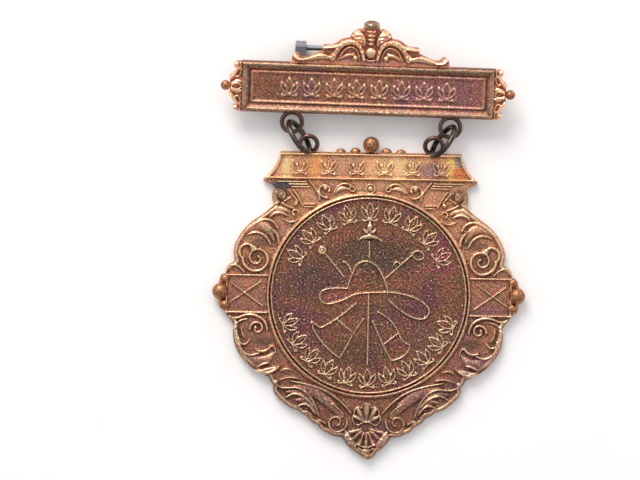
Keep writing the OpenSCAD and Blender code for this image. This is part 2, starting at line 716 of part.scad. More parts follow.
// The hinge bracket, soldered to the back of the bar and the crest's left end
module pin_joint() {
    base_low = bar_h / 2 - frame_w;
    base_high = stem_rise + ear_gap / 2 + ear_t;
    translate([-hinge_x, 0, 0]) {
        translate([-joint_w / 2, base_low, -base_t]) cube([joint_w, base_high - base_low, base_t + crest_back + 0.1]);
        ear(stem_rise - ear_gap / 2 - ear_t);
        ear(stem_rise + ear_gap / 2);
    }
}

catch_w = 1.6;
catch_t = 0.4;
// Gap between the closed stem and the catch's plate, and how far the catch reaches below the bar's back
catch_gap = 0.12;
catch_depth = stem_depth + stem_d / 2 + catch_t + 0.05;

// The catch: a plate bent down between the bar and the stem, with a short lip clear of the stem's swing
module pin_catch() {
    base_low = bar_h / 2 - frame_w;
    wall = stem_rise - stem_d / 2 - catch_gap - catch_t;
    translate([catch_x - catch_w / 2, 0, 0]) {
        translate([0, base_low, -base_t]) cube([catch_w, wall + catch_t - base_low, base_t + crest_back + 0.1]);
        translate([0, wall, -catch_depth]) cube([catch_w, catch_t, catch_depth]);
        translate([0, wall - catch_t, -catch_depth]) cube([catch_w, catch_t, catch_t]);
    }
}

module top_bar() {
    color(bronze) place_bar() {
        bar_body();
        crest();
        for (side = [0, 1]) mirror([side, 0, 0]) end_finial();
        for (side = [-1, 1]) bar_eyelet(side);
        pin_joint();
        pin_catch();
    }
}

stem_l = hinge_x + catch_x + stem_past_catch;
tip_l = 1.4;

module pin_stem() {
    color(steel) place_bar() translate([-hinge_x, stem_rise, -stem_depth]) {
        difference() {
            union() {
                rotate([90, 0, 0]) translate([0, 0, -eye_w / 2]) cylinder(r = eye_r, h = eye_w, $fn = round_fn);
                rotate([0, 90, 0]) cylinder(d = stem_d, h = stem_l - tip_l, $fn = 24);
            }
            rotate([90, 0, 0]) translate([0, 0, -eye_w])
                cylinder(d = rivet_d + 2 * rivet_gap, h = 2 * eye_w, $fn = round_fn);
        }
        translate([stem_l - tip_l, 0, 0]) rotate([0, 90, 0]) cylinder(d1 = stem_d, d2 = 0.1, h = tip_l, $fn = 24);
    }
}

module hinge_rivet() {
    rivet_l = ear_gap + 2 * ear_t;
    color(steel) place_bar() translate([-hinge_x, stem_rise, -stem_depth])
        rotate([90, 0, 0]) translate([0, 0, -rivet_l / 2]) cylinder(d = rivet_d, h = rivet_l, $fn = round_fn);
}

// Middle of an eyelet's hole, in the part's own frame, where u is counted from the pendant's axis
function bar_point(u, v, w) =
    let (
        y = v * cos(bar_tilt) - w * sin(bar_tilt),
        z = v * sin(bar_tilt) + w * cos(bar_tilt)
    )
    [u * cos(bar_turn) + y * sin(bar_turn), bar_y - u * sin(bar_turn) + y * cos(bar_turn), bar_z + z];
function bar_hole(side) = bar_point(side * bar_eyelet_x, bar_eyelet_v, bar_eyelet_w);
function pendant_hole(side) = [
    side * pendant_eyelet_x,
    eyelet_root_y + eyelet_crossing * cos(eyelet_lift),
    eyelet_root_z + eyelet_crossing * sin(eyelet_lift)
];

// A jump ring passes through the holes of both eyelets and leans over towards the badge's axis
module jump_ring(side) {
    a = bar_hole(side);
    b = pendant_hole(side);
    span = norm(b - a);
    along = (b - a) / span;
    level = cross(along, [0, 0, 1]) / norm(cross(along, [0, 0, 1]));
    upright = cross(level, along);
    rise = sqrt(pow(ring_d / 2, 2) - pow(span / 2, 2));
    up = upright * cos(ring_lean) - side * level * sin(ring_lean);
    out = cross(along, up);
    centre = (a + b) / 2 + up * rise;
    multmatrix([
        [along.x, up.x, out.x, centre.x],
        [along.y, up.y, out.y, centre.y],
        [along.z, up.z, out.z, centre.z]
    ]) wire_ring(ring_d, ring_wire);
}

module jump_ring_left() {
    color(dark_wire) jump_ring(-1);
}

module jump_ring_right() {
    color(dark_wire) jump_ring(1);
}

top_bar();
pendant();
jump_ring_left();
jump_ring_right();
pin_stem();
hinge_rivet();
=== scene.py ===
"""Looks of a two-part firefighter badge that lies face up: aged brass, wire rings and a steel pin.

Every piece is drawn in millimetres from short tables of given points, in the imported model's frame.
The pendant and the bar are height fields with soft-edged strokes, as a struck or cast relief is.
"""

import math

import bmesh
import bpy
import numpy as np
from mathutils import Matrix, Vector


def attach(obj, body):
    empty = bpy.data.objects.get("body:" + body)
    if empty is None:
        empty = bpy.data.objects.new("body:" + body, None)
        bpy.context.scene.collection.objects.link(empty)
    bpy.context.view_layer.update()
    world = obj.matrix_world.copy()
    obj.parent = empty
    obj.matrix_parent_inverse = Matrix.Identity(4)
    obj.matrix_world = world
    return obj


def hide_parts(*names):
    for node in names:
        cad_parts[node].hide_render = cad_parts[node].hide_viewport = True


bl_info = {
    "name": "Firefighter Badge Looks",
    "version": (1, 0, 0),
    "blender": (4, 5, 0),
    "location": "3D View > Sidebar > Badge",
    "description": "Builds the visible metal of a two-part badge over its packed frame",
    "category": "Object",
}

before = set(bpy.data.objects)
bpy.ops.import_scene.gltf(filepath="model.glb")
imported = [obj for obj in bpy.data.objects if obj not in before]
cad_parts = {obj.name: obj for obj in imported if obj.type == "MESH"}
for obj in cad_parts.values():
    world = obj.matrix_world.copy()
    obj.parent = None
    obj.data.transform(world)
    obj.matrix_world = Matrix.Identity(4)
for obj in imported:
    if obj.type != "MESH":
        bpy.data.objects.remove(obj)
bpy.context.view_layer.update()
MM = 0.001
SIDES = (1, -1)

# The bar's sizes and how it lies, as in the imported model, in millimetres and degrees
BAR_HALF_LENGTH = 17.0
BAR_HALF_HEIGHT = 3.45
BAR_LOWER_EDGE_Y = 24.4
BAR_SHIFT = 0.6
BAR_TILT = 14.0
BAR_TURN = 1.0
CREST_SHIFT = 0.2
# The pin's joint and catch, in the bar's own frame. The lower ear starts at the foot's rise up the bar
HINGE_X = 9.2
JOINT_WIDTH = 1.45
JOINT_DEPTH = 3.9
FOOT_RISE = 4.025
FOOT_RADIUS = 0.348
EAR_THICKNESS = 0.35
UPPER_EAR_TOP = 5.575
CATCH_SIDES = (4.0, 5.6)
CATCH_WALL = (3.93, 4.33)
CATCH_LIP_LOW = 3.53
CATCH_DEPTH = 3.7
LIP_THICKNESS = 0.4
BASE_START = -0.45
BASE_THICKNESS = 0.745
# Eyelets: places of their middles or feet, radii, how the pendant's are lifted, and where a ring passes them
BAR_EYELET = (10.65, -BAR_HALF_HEIGHT - 1.3, 0.624)
BAR_EYELET_RADIUS = 1.35
PENDANT_EYELET_FOOT = (8.45, 19.2, 0.85)
PENDANT_EYELET_RADIUS = 1.2
PENDANT_EYELET_LIFT = math.radians(26)
RING_REACH = 0.92 * PENDANT_EYELET_RADIUS
# A jump ring: diameter, lean to the badge's axis, and the place and width of its cut, in degrees
RING_DIAMETER = 4.7
RING_LEAN = math.radians(18)
RING_CUT_AT = 64
RING_CUT = 2
# The pendant: its medallion's outer line, the seam inside that line, and the seam's raised lip
MEDALLION_RADIUS = 13.6
SEAM_RADIUS = 13.35
SEAM_LIP = 0.12
SEAM_LIP_HALF_WIDTH = 0.4
# The rolled rim of the pendant: distance from its edge, half width and height
RIM_IN = 0.36
RIM_HALF_WIDTH = 0.34
RIM_HEIGHT = 0.26
# The rim is there from below the cornice down, save beside the side blocks: where it starts, and its fading
RIM_UNDER_CORNICE = (-14.2, 0.6)
RIM_PAST_BLOCKS = (2.9, 0.5)
# A struck back edge's bevel, the reach that a surface is averaged over to find what is rubbed or dirty on it,
# and how far above that average is rubbed bright, partly as painted highlight, and how far below it is full
# of dirt
BACK_BEVEL = 0.12
AVERAGE_REACH = 0.3
RUBBED_AND_HIGHLIT_RISE = 0.12
DIRTY_DROP = 0.16
# How high the leaves' bodies stand, and how thick the crest and the finials are under their relief
PENDANT_LEAF = 0.34
LOBE_LEAF = 0.5
CREST_LEAF = 0.55
FINIAL_LEAF = 0.4
SHELL_SIDE_LEAF = 0.45
FOOT_LEAF = 0.42
RIB_LEAF = 0.3
CREST_THICKNESS = 0.75
FINIAL_THICKNESS = 0.55
# How far in front of the bar's back the backs of the crest and the finials lie
CREST_RISE = 0.2
FINIAL_RISE = 0.26
# Small domes: a finial's across, up, radius and height, then the radius and height of the crest's arches' own
FINIAL_DOME = (0.78, 2.95, 0.46, 0.5)
ARCH_DOME = (0.2, 0.85)
# The moulding's hollow back: how far inside the bar's edge it starts, and how deep it is
HOLLOW_IN = 1
HOLLOW_DEPTH = 0.3
# The shell's ribs: how many, how far they spread in degrees, and where they meet
SHELL_RIBS = 7
SHELL_SPREAD = 150
SHELL_ROOT = (0, -17.9)
# A rib: where it starts, the middle one's reach and how much farther the outermost go, and its widths
RIB_START = 0.7
RIB_REACH = 2.3
RIB_REACH_MORE = 0.5
RIB_WIDTHS = [0.3, 0.5, 0.66, 0.5]
# The hollow in the shell: its middle, its radius, and its height for its width
SHELL_HOLLOW = (-0.1, -18.1, 0.6, 0.75)
# A lobe of the rosette: its root's height, how far out the root is as a share of the tip, and then shares of
# the lobe's length with the share of its width there
LOBE_ROOT_Y = -17
LOBE_ROOT_SHARE = 0.25
LOBE_LENGTHS = (0, 0.4, 0.75, 1)
LOBE_WIDTHS = (0.4, 0.75, 1, 0.8)
# The cornice's two rules: height up the badge, half length and width
UPPER_RULE = (18.95, 12.1, 0.3)
LOWER_RULE = (15.72, 13.95, 0.32)
# The line down the cornice's right end: its upper point and bulge, its lower point, and its width
CORNICE_END = ((12.15, 18.95, 0.42), (13.95, 15.75), 0.26)
# The ringed bead under the cornice: height up the badge, the ring's radius and width, and the bead's radius
RINGED_BEAD = (14.4, 0.62, 0.2, 0.42)
# The ring line inside the medallion's edge: radius and width
INNER_RING = (13.1, 0.2)
# Where the plate is golden, up the badge: start, reach, and strength. Then where it is darkened as painted
# shade, down the badge
CORNICE_GILT = (15.4, 0.3, 0.9)
PLATE_GILT = (-1, 14, 0.5)
FOOT_SHADE = (5, 30, 0.3)
# Where the bar is darker: out to its ends, and as painted shade up to its top band and down to its lower one
BAR_END_DULL = (16, 0.3, 0.3)
BAR_TOP_SHADE = (2.6, 0.3, 0.6)
BAR_LOW_SHADE = (2.4, 0.2, 0.5)
# Straight rows of motifs: how many, span, height of their feet, and size
CORNICE_MOTIFS = (6, 19, 16.25, 2.3)
BAR_MOTIFS = (8, 21.1, -1.2, 2.48)
# Arcs of motifs on the medallion: how many, spread in degrees, radius at their feet, turn, and size
UPPER_MOTIFS = (9, 124, 0.735 * MEDALLION_RADIUS, 0, 2.5)
LOWER_MOTIFS = (11, 140, 0.735 * MEDALLION_RADIUS + 2.45, 180, 2.5)
# The sky's strength towards the badge's foot and its top
SKY_AT_FOOT = 0.44
SKY_AT_TOP = 1.2
# The camera: its place and turn, the width that its frame spans, and its sensor's width
CAMERA_X = -6.68
CAMERA_Y = 7.38
CAMERA_HEIGHT = 450
CAMERA_TURN = math.radians(1)
FRAME_WIDTH = 86.5
SENSOR_WIDTH = 36
# What a relief's mesh says of each point, for the brass to read: rubbed tops that also carry painted
# highlight, dirt, tarnish that also carries painted shade, and gilt
MARKS = ("wear", "recess", "tarnish", "gilt")
# Brown of tarnish, also laid on as painted shade at the plate's foot and the bar's bands
TARNISH_AND_SHADE_BROWN = "#5c4436"
# White of the painted highlight specks that glint in the fine grain
PAINTED_GLINT_WHITE = "#fff0e2"

# Right half of the pendant's outline, from the top down: x, y, and how far the line after it bulges out
pendant_outline = [
    [0, 19.3, 0],
    [12.2, 19.3, -0.45],
    [14.5, 15.5, 0.1],
    [13.6, 14.9, -0.1],
    [12.9, 14.3, 0.35],
    [12.9, 12.1, -0.1],
    [15.4, 10.1, 0.25],
    [17.9, 7.2, 0.3],
    [18.1, 4.4, 0],
    [18.5, 4.1, 0.2],
    [19.3, 3.1, 0],
    [19.3, 2.5, 0],
    [19.9, 2.2, 0.15],
    [20.2, 1.1, 0],
    [20.2, -0.8, 0.15],
    [19.9, -1.9, 0],
    [19.3, -2.5, 0.1],
    [18.7, -3.3, 0],
    [18.1, -4.2, 0.45],
    [17.2, -8.3, 0.4],
    [13.3, -11.2, 0.05],
    [12.6, -12.3, 0.25],
    [12.1, -13.8, 0.05],
    [11, -14.8, 0.15],
    [9.3, -15.6, 0.1],
    [8, -16.4, 0.2],
    [6.5, -17.6, 0.2],
    [5.2, -18.6, 0.2],
    [3.3, -19.1, 0.2],
    [1.4, -21.1, 0.3],
    [0, -22.1, 0]
]

# Scrolls of the right half: centre, radius and angle at both ends, and width at both ends
pendant_scrolls = [
    [15.15, 4.8, 1.95, 0.3, 0, -600, 0.6, 0.34],
    [16.4, 5.7, 1.15, 0.9, -35, 150, 0.5, 0.66],
    [14.95, -4.65, 1, 0.28, -10, 400, 0.52, 0.34],
    [4.05, -17.2, 1.45, 0.35, 175, 610, 0.42, 0.26],
    [6.05, 14.15, 1.05, 0.5, -110, 200, 0.34, 0.3],
    [2.35, 14.35, 0.46, 0.2, 60, -260, 0.28, 0.22],
    [11.95, 13.3, 0.9, 0.4, -60, 230, 0.36, 0.34],
    [10.05, 11, 0.45, 0.35, 180, -60, 0.24, 0.24]
]

# Leaf edges and tendrils of the right half: four points of a cubic curve, then first, middle and last width
pendant_veins = [
    [15.6, 9.3, 14.5, 10.4, 12.9, 10.3, 12.4, 8.9, 0.24, 0.5, 0.36],
    [13.3, 8.9, 12.6, 8.4, 12.2, 7.7, 12.25, 6.8, 0.28, 0.5, 0.3],
    [16.5, 7.9, 15.2, 8.7, 13.9, 8.2, 13.3, 6.6, 0.24, 0.5, 0.34],
    [13.5, 10.4, 12.7, 11.1, 11.8, 11.1, 11.1, 10.6, 0.2, 0.5, 0.2],
    [11.7, 10.1, 10.9, 9.6, 10.3, 9.6, 9.7, 10.2, 0.2, 0.28, 0.2],
    [11.9, 12.3, 11.4, 12, 10.9, 11.8, 10.3, 11.6, 0.3, 0.36, 0.2],
    [11.6, 12.55, 11.3, 12.7, 11, 12.9, 10.7, 13.1, 0.24, 0.36, 0.2],
    [12.3, 12.4, 12.8, 12.2, 13.4, 11.8, 14, 11.3, 0.3, 0.5, 0.3],
    [10.35, 14.1, 9.9, 13.5, 9.5, 12.9, 9.1, 11.9, 0.24, 0.32, 0.26],
    [10.9, 13.9, 10.5, 13.4, 10.2, 13.1, 9.8, 12.6, 0.18, 0.22, 0.18],
    [8.2, 15.3, 7.7, 14.7, 6.9, 13.9, 6.8, 12.8, 0.24, 0.28, 0.24],
    [4.95, 13.8, 4.5, 15, 3.4, 15.4, 2.55, 14.75, 0.24, 0.42, 0.28],
    [19.2, 3, 18.9, 4.2, 17.9, 4.2, 16.8, 2.9, 0.24, 0.3, 0.24],
    [18.7, -3, 18.2, -3.5, 17.6, -3.3, 17, -3, 0.24, 0.4, 0.3],
    [17, -3, 15.6, -2.5, 13.6, -3, 13.6, -5, 0.36, 0.56, 0.3],
    [17.9, -4.2, 17.4, -3.6, 16.9, -3.5, 16.3, -3.4, 0.2, 0.28, 0.2],
    [17.1, -4.6, 17, -5.2, 16.9, -5.7, 16.5, -6, 0.2, 0.3, 0.2],
    [17.4, -6, 17.3, -7, 16.4, -7.1, 16, -6.3, 0.24, 0.4, 0.24],
    [17.3, -6.9, 16.9, -8.1, 15.9, -8.6, 14.7, -8, 0.2, 0.6, 0.24],
    [14.9, -7.6, 14.3, -8, 13.5, -7.7, 13, -7, 0.3, 0.62, 0.3],
    [13, -7, 12.6, -6.9, 12.4, -7.4, 12.4, -8, 0.24, 0.3, 0.2],
    [14.8, -9.9, 14.3, -9.5, 13.8, -9.4, 13.3, -9.3, 0.2, 0.36, 0.2],
    [16.2, -9.5, 15, -11, 12.9, -11.2, 11.9, -9.7, 0.28, 0.5, 0.3],
    [11.7, -10.4, 11.1, -9.9, 10.6, -10, 10.1, -10.3, 0.2, 0.34, 0.2],
    [11.8, -11.6, 10.9, -11.1, 10, -11.1, 9.2, -11.4, 0.2, 0.36, 0.2],
    [10.2, -11.7, 7.4, -12.2, 4.6, -12.6, 2.1, -15.9, 0.24, 0.5, 0.36],
    [12.2, -12.2, 11.5, -12.9, 10.4, -12.5, 9.5, -12.6, 0.3, 0.5, 0.5],
    [9.5, -12.6, 8.2, -12.8, 6.8, -14.4, 6.45, -16.4, 0.5, 0.36, 0.28],
    [10.9, -13.9, 9.9, -13.1, 8.6, -13.3, 7.2, -15, 0.3, 0.5, 0.26],
    [9.4, -15.2, 8.7, -14.5, 7.7, -14.7, 7.1, -15.9, 0.26, 0.46, 0.26],
    [8.5, -15.8, 8.1, -15.6, 7.6, -15.9, 7.2, -16.5, 0.2, 0.36, 0.2],
    [6.5, -16.8, 6.2, -16.8, 5.9, -17, 5.5, -17.4, 0.24, 0.38, 0.24],
    [4.6, -14.7, 4, -15.1, 3.5, -15.5, 3.1, -16.1, 0.2, 0.3, 0.2]
]

# Rounded leaf bodies of the right half, in the same columns
pendant_leaves = [
    [16.9, 8.2, 15.4, 9.6, 13.6, 9.8, 12.9, 7.2, 0.4, 1.5, 0.4],
    [14.3, 10.4, 13, 11.4, 11.8, 11.9, 10.8, 11, 0.3, 1, 0.3],
    [17, -7.7, 15.9, -9.6, 13.9, -9.6, 12.7, -8, 0.4, 1.7, 0.4],
    [15, -10.4, 14, -10.4, 13, -10.3, 12, -9.8, 0.3, 0.9, 0.3],
    [9.8, -12.3, 7.4, -12.9, 5.2, -13.9, 3.4, -16.3, 0.4, 1.6, 0.9],
    [10.8, -13.2, 9.3, -12.9, 7.8, -13.6, 6.9, -16, 0.4, 0.9, 0.5],
    [9.6, -14.3, 8.8, -14, 7.9, -14.3, 7.3, -15.4, 0.3, 0.9, 0.4],
    [4.7, 13.8, 4.2, 14.4, 3.6, 14.6, 3, 14.3, 0.3, 0.7, 0.3],
    [17.9, -3.5, 17.8, -5.4, 17.6, -6.6, 16.9, -7.7, 0.3, 0.7, 0.3]
]

# Raised lines on the right half of the rosette and the shell at the foot, in the same columns
shell_lines = [
    [-0.01, -14.45, 0.4, -14.45, 0.6, -14.8, 0.62, -15.2, 0.3, 0.3, 0.2],
    [0.7, -15.3, 0.9, -14.7, 1.75, -15.1, 1.65, -15.9, 0.2, 0.32, 0.2],
    [1.6, -15.95, 2, -16.3, 1.95, -17, 1.5, -17.35, 0.2, 0.28, 0.22],
    [1.55, -17.35, 1.1, -17.8, 0.7, -17, 0, -17.1, 0.22, 0.28, 0.28],
    [0.5, -18.8, 0.6, -19.3, 0.7, -19.7, 0.8, -20.1, 0.14, 0.16, 0.14],
    [0.9, -18.4, 1.4, -18.9, 1.8, -19.3, 2.2, -19.5, 0.14, 0.2, 0.14],
    [0, -20.45, 0.5, -20.45, 0.9, -20.3, 1.25, -20, 0.22, 0.24, 0.2],
    [0, -20.95, 0.4, -20.95, 0.7, -20.8, 1, -20.55, 0.2, 0.22, 0.18]
]

# Raised beads of the pendant's right half: x, y, radius
pendant_beads = [
    [17.9, -4.6, 0.3],
    [12.3, -11.8, 0.34],
    [6.4, -17, 0.36],
    [10, 12.25, 0.3],
    [6.1, 14.45, 0.34],
    [11.95, 13.35, 0.62]
]

# Straight raised lines of the right half: from x, y to x, y, and width
pendant_rules = [
    [13.7, 2.5, 19.3, 2.5, 0.36],
    [13.7, -2.5, 19.3, -2.5, 0.36],
    [19.15, 2.5, 19.15, -2.5, 0.2],
    [18.7, -1.2, 14.5, 1.7, 0.22],
    [18.5, 1.4, 14.2, -1.7, 0.22],
    [8.6, 15.2, 12.5, 15.2, 0.17],
    [8.4, 14.85, 11, 14.85, 0.17],
    [8.2, 14.5, 10.6, 14.5, 0.17],
    [7.5, 12.2, 8.9, 12.2, 0.15],
    [7.6, 11.85, 8.8, 11.85, 0.15]
]

# Lines of the emblem inside the medallion, whole and not mirrored: the same columns as the leaf edges
emblem_curves = [
    [-2.1, 3.2, -1.7, 5.1, 0.7, 5.2, 1.7, 3, 0.26, 0.34, 0.26],
    [1.7, 3, 2.1, 2.2, 2.5, 1.2, 2.6, 0.2, 0.26, 0.3, 0.26],
    [-2.1, 3.2, -2.5, 2.4, -2.7, 1.6, -2.9, 0.9, 0.26, 0.3, 0.26],
    [-2.9, 0.9, -4.6, 1, -6.7, 1, -6.6, -0.2, 0.26, 0.34, 0.3],
    [-6.6, -0.2, -6.4, -2, -4, -1, -2.4, -0.1, 0.3, 0.34, 0.26],
    [-2.4, -0.1, -1.4, 0.5, 1.2, 0.4, 2.6, 0.5, 0.26, 0.3, 0.26],
    [2.6, 0.5, 5.4, 0.4, 8, -0.6, 8.2, -2, 0.26, 0.34, 0.3],
    [8.2, -2, 8, -3.9, 5.4, -3.2, 2.8, -0.6, 0.3, 0.34, 0.26],
    [-1.5, 7.4, -0.9, 8.4, 0.9, 8.4, 1.7, 7.3, 0.2, 0.3, 0.2],
    [5.8, 5.6, 6.2, 6.6, 7.6, 6, 7.3, 5.2, 0.24, 0.34, 0.24],
    [7.3, 5.2, 6.9, 4.7, 6.1, 4.9, 5.8, 5.6, 0.24, 0.28, 0.24],
    [3.3, 4.1, 3.4, 4.8, 4.1, 4.7, 4.2, 4.1, 0.24, 0.34, 0.24],
    [-3.5, 4.5, -3, 4.5, -2.6, 3.9, -2.4, 3.1, 0.24, 0.34, 0.24],
    [-7.8, -3.9, -7.2, -3.4, -6.9, -4.5, -6.3, -4.4, 0.24, 0.28, 0.24],
    [-6.3, -4.4, -4.6, -3.6, -3.4, -2.6, -1.7, -1.1, 0.24, 0.28, 0.24],
    [-7.5, -4.3, -6.6, -6.3, -5.4, -7.3, -3.8, -8.5, 0.24, 0.3, 0.24],
    [-3.8, -8.5, -2.9, -7.4, -2.4, -5.4, -0.6, -3.2, 0.16, 0.12, 0.12],
    [1.3, -2.2, 3.2, -3, 3.9, -4.4, 4.3, -5.4, 0.24, 0.28, 0.24],
    [4.3, -5.4, 4.6, -6.2, 5.2, -6.4, 5.7, -6.6, 0.24, 0.28, 0.24],
    [3.2, -8.7, 4.6, -8.5, 5.6, -7.7, 5.7, -6.6, 0.24, 0.3, 0.24],
    [0.6, -3.4, 1.3, -5, 2, -6.8, 3.2, -8.7, 0.12, 0.12, 0.16]
]
emblem_rules = [
    [0, 7.3, 0, 5, 0.2],
    [0, 0.2, 0, -9.3, 0.3],
    [-6, 5.6, -3.3, 2.4, 0.3],
    [5.8, 5.6, 2.3, 2.4, 0.3],
    [-4.3, -3.2, -2.2, -4.9, 0.22],
    [4, -5.1, 2.2, -6.5, 0.22]
]

# Rounded bodies of the helmet's crown and its front, in the same columns, and then their heights
emblem_leaves = [
    [-1.9, 2.8, -1.3, 4.2, 0.8, 4.3, 1.8, 2.4, 0.8, 2, 0.8, 0.12],
    [-1.5, 7.35, -0.7, 8.1, 0.9, 8.1, 1.7, 7.25, 0.15, 0.6, 0.15, 0.4]
]
# Ring of the left trumpet's mouthpiece: x, y, radius
mouthpiece = (-6.35, 6, 0.46)

# Raised lines of the crest's right half, from the bar's upper edge: the same columns, in millimetres
crest_lines = [
    [0.72, 0.7, 0.95, 2.4, 1.6, 3.35, 2.65, 3.4, 0.22, 0.32, 0.3],
    [2.65, 3.4, 4, 3.3, 4.9, 2.3, 5.4, 0.6, 0.3, 0.32, 0.24],
    [1.1, 0.7, 1.3, 2.2, 1.8, 2.9, 2.65, 2.9, 0.2, 0.3, 0.3],
    [2.65, 2.9, 3.7, 2.85, 4.4, 2, 4.85, 0.6, 0.3, 0.3, 0.2],
    [1.45, 0.7, 1.6, 1.85, 2, 2.42, 2.65, 2.42, 0.18, 0.26, 0.26],
    [2.65, 2.42, 3.4, 2.4, 3.95, 1.7, 4.3, 0.6, 0.26, 0.26, 0.18],
    [4.45, 2.3, 4.9, 1.9, 5.4, 1.3, 5.8, 0.65, 0.2, 0.26, 0.2],
    [4.7, 2.3, 5.3, 2.5, 5.9, 2.2, 6.5, 2.35, 0.22, 0.36, 0.3],
    [5.5, 0.9, 6.2, 1.7, 7.2, 1.2, 8.7, 0.65, 0.22, 0.36, 0.26],
    [8.7, 0.65, 9.3, 0.5, 10.1, 0.5, 10.25, 1, 0.26, 0.36, 0.3],
    [1.3, 3.2, 1.9, 3.4, 2.4, 3.7, 2.55, 4, 0.22, 0.34, 0.24],
    [0.8, 3, 0.9, 3.8, 1.1, 4.4, 1.7, 4.65, 0.22, 0.34, 0.24],
    [1, 3.5, 1.4, 3.7, 1.7, 3.7, 2, 3.5, 0.2, 0.3, 0.2],
    [1.1, 4, 1.5, 4.25, 1.9, 4.2, 2.3, 4, 0.2, 0.34, 0.2],
    [2.2, 1.6, 2.9, 1.7, 3.6, 1.4, 4, 0.85, 0.22, 0.36, 0.22],
    [0, 0.62, 0.4, 0.62, 0.75, 0.8, 0.95, 1.2, 0.28, 0.28, 0.22]
]
# Rounded bodies of the crest's right half, in the same columns
crest_leaves = [
    [0.9, 0.8, 1.2, 2.5, 1.8, 3.15, 2.65, 3.15, 0.5, 0.7, 0.7],
    [2.65, 3.15, 3.9, 3.1, 4.7, 2.2, 5.1, 0.6, 0.7, 0.7, 0.5],
    [1, 2.8, 1.2, 3.4, 1.6, 3.9, 2, 4.3, 0.7, 1.5, 0.9],
    [4.2, 2.6, 5, 2.4, 5.8, 2.3, 6.5, 2.15, 0.5, 0.6, 0.4],
    [5.3, 0.9, 6.3, 1.3, 7.4, 0.9, 8.7, 0.5, 0.7, 0.9, 0.4],
    [8.8, 0.5, 9.4, 0.4, 10, 0.6, 10.1, 1.1, 0.4, 0.6, 0.5],
    [2.1, 1.3, 2.8, 1.5, 3.5, 1.3, 3.9, 0.8, 0.3, 0.6, 0.3]
]
# Domes of the crest: across, up, radius, height, and how tall each is for its width
crest_domes = [
    [0, 1.75, 0.8, 0.8, 1],
    [0, 2.95, 0.5, 0.6, 0.56],
    [0, 3.5, 0.56, 0.7, 0.56],
    [0, 4.05, 0.62, 0.75, 0.54],
    [0, 4.6, 0.66, 0.75, 0.54],
    [0, 5.35, 1.08, 0.9, 0.56],
    [2.05, 0.95, 0.42, 0.5, 1],
    [9.85, 0.85, 0.34, 0.4, 1]
]
# Right half of the crest's outline, from its top: across, up, bulge
crest_outline = [
    [0, 5.95, 0.05],
    [0.7, 5.8, 0.1],
    [1.08, 5.3, 0.05],
    [0.95, 4.95, 0],
    [1.25, 4.85, 0.1],
    [2.1, 4.6, 0.1],
    [2.7, 4, 0.05],
    [2.75, 3.65, 0],
    [3.5, 3.5, 0.1],
    [4.6, 2.85, 0.03],
    [5.1, 2.6, 0],
    [6.1, 2.55, 0.06],
    [6.6, 2.35, 0.06],
    [6.35, 1.85, -0.04],
    [7.6, 1.25, -0.06],
    [8.8, 0.85, -0.05],
    [9.4, 1, 0.06],
    [9.75, 1.4, 0.08],
    [10.3, 1.1, 0.1],
    [10.55, 0.3, 0],
    [10.8, 0, 0],
    [10.8, -0.35, 0]
]

# Upper half of an end finial's outline, from the end of the bar: reach, height, bulge
finial_outline = [
    [-0.5, 3.4, 0],
    [0.15, 3.42, 0.05],
    [0.8, 3.3, 0.08],
    [1.15, 2.95, 0.08],
    [0.95, 2.6, 0],
    [0.8, 2.4, -0.03],
    [1.2, 1.8, 0.05],
    [1.6, 1.25, 0.04],
    [1.55, 0.8, 0],
    [1.5, 0.35, 0]
]
finial_lines = [
    [0.5, 2.65, 0.4, 2.2, 0.9, 1.6, 1.45, 1, 0.3, 0.42, 0.3],
    [0.05, 2.3, 0.1, 1.3, 0.6, 1.1, 0.85, 1.5, 0.2, 0.32, 0.28],
    [0, 0.12, 0.4, 0.5, 0.9, 0.5, 1.4, 0.1, 0.22, 0.36, 0.22],
    [0.15, 3.15, 0, 2.8, 0.1, 2.45, 0.4, 2.25, 0.2, 0.28, 0.22]
]
finial_leaves = [
    [0.5, 2.6, 0.7, 2.1, 1.1, 1.6, 1.35, 1, 0.5, 0.8, 0.5],
    [0, 0.6, 0.4, 0.8, 0.9, 0.6, 1.3, 0.2, 0.4, 0.8, 0.4]
]

# Right half of the lines of one motif, and its middle petal's body, as shares of its height, in the same
# columns. It is a bud of three petals over two small curls
motif_half = [
    [0, 0.12, 0.26, 0.4, 0.2, 0.78, 0, 1, 0.05, 0.06, 0.05],
    [0.06, 0.14, 0.4, 0.26, 0.5, 0.5, 0.42, 0.76, 0.05, 0.06, 0.05],
    [0.42, 0.76, 0.24, 0.6, 0.14, 0.4, 0.08, 0.24, 0.05, 0.05, 0.04],
    [-0.3, 0.02, -0.1, 0.1, 0.1, 0.1, 0.3, 0.02, 0.06, 0.07, 0.06],
    [0.3, 0.02, 0.44, -0.04, 0.42, 0.14, 0.32, 0.12, 0.06, 0.05, 0.06]
]
motif_heart = [0, 0.2, 0, 0.45, 0, 0.7, 0, 0.9, 0.04, 0.2, 0.04]

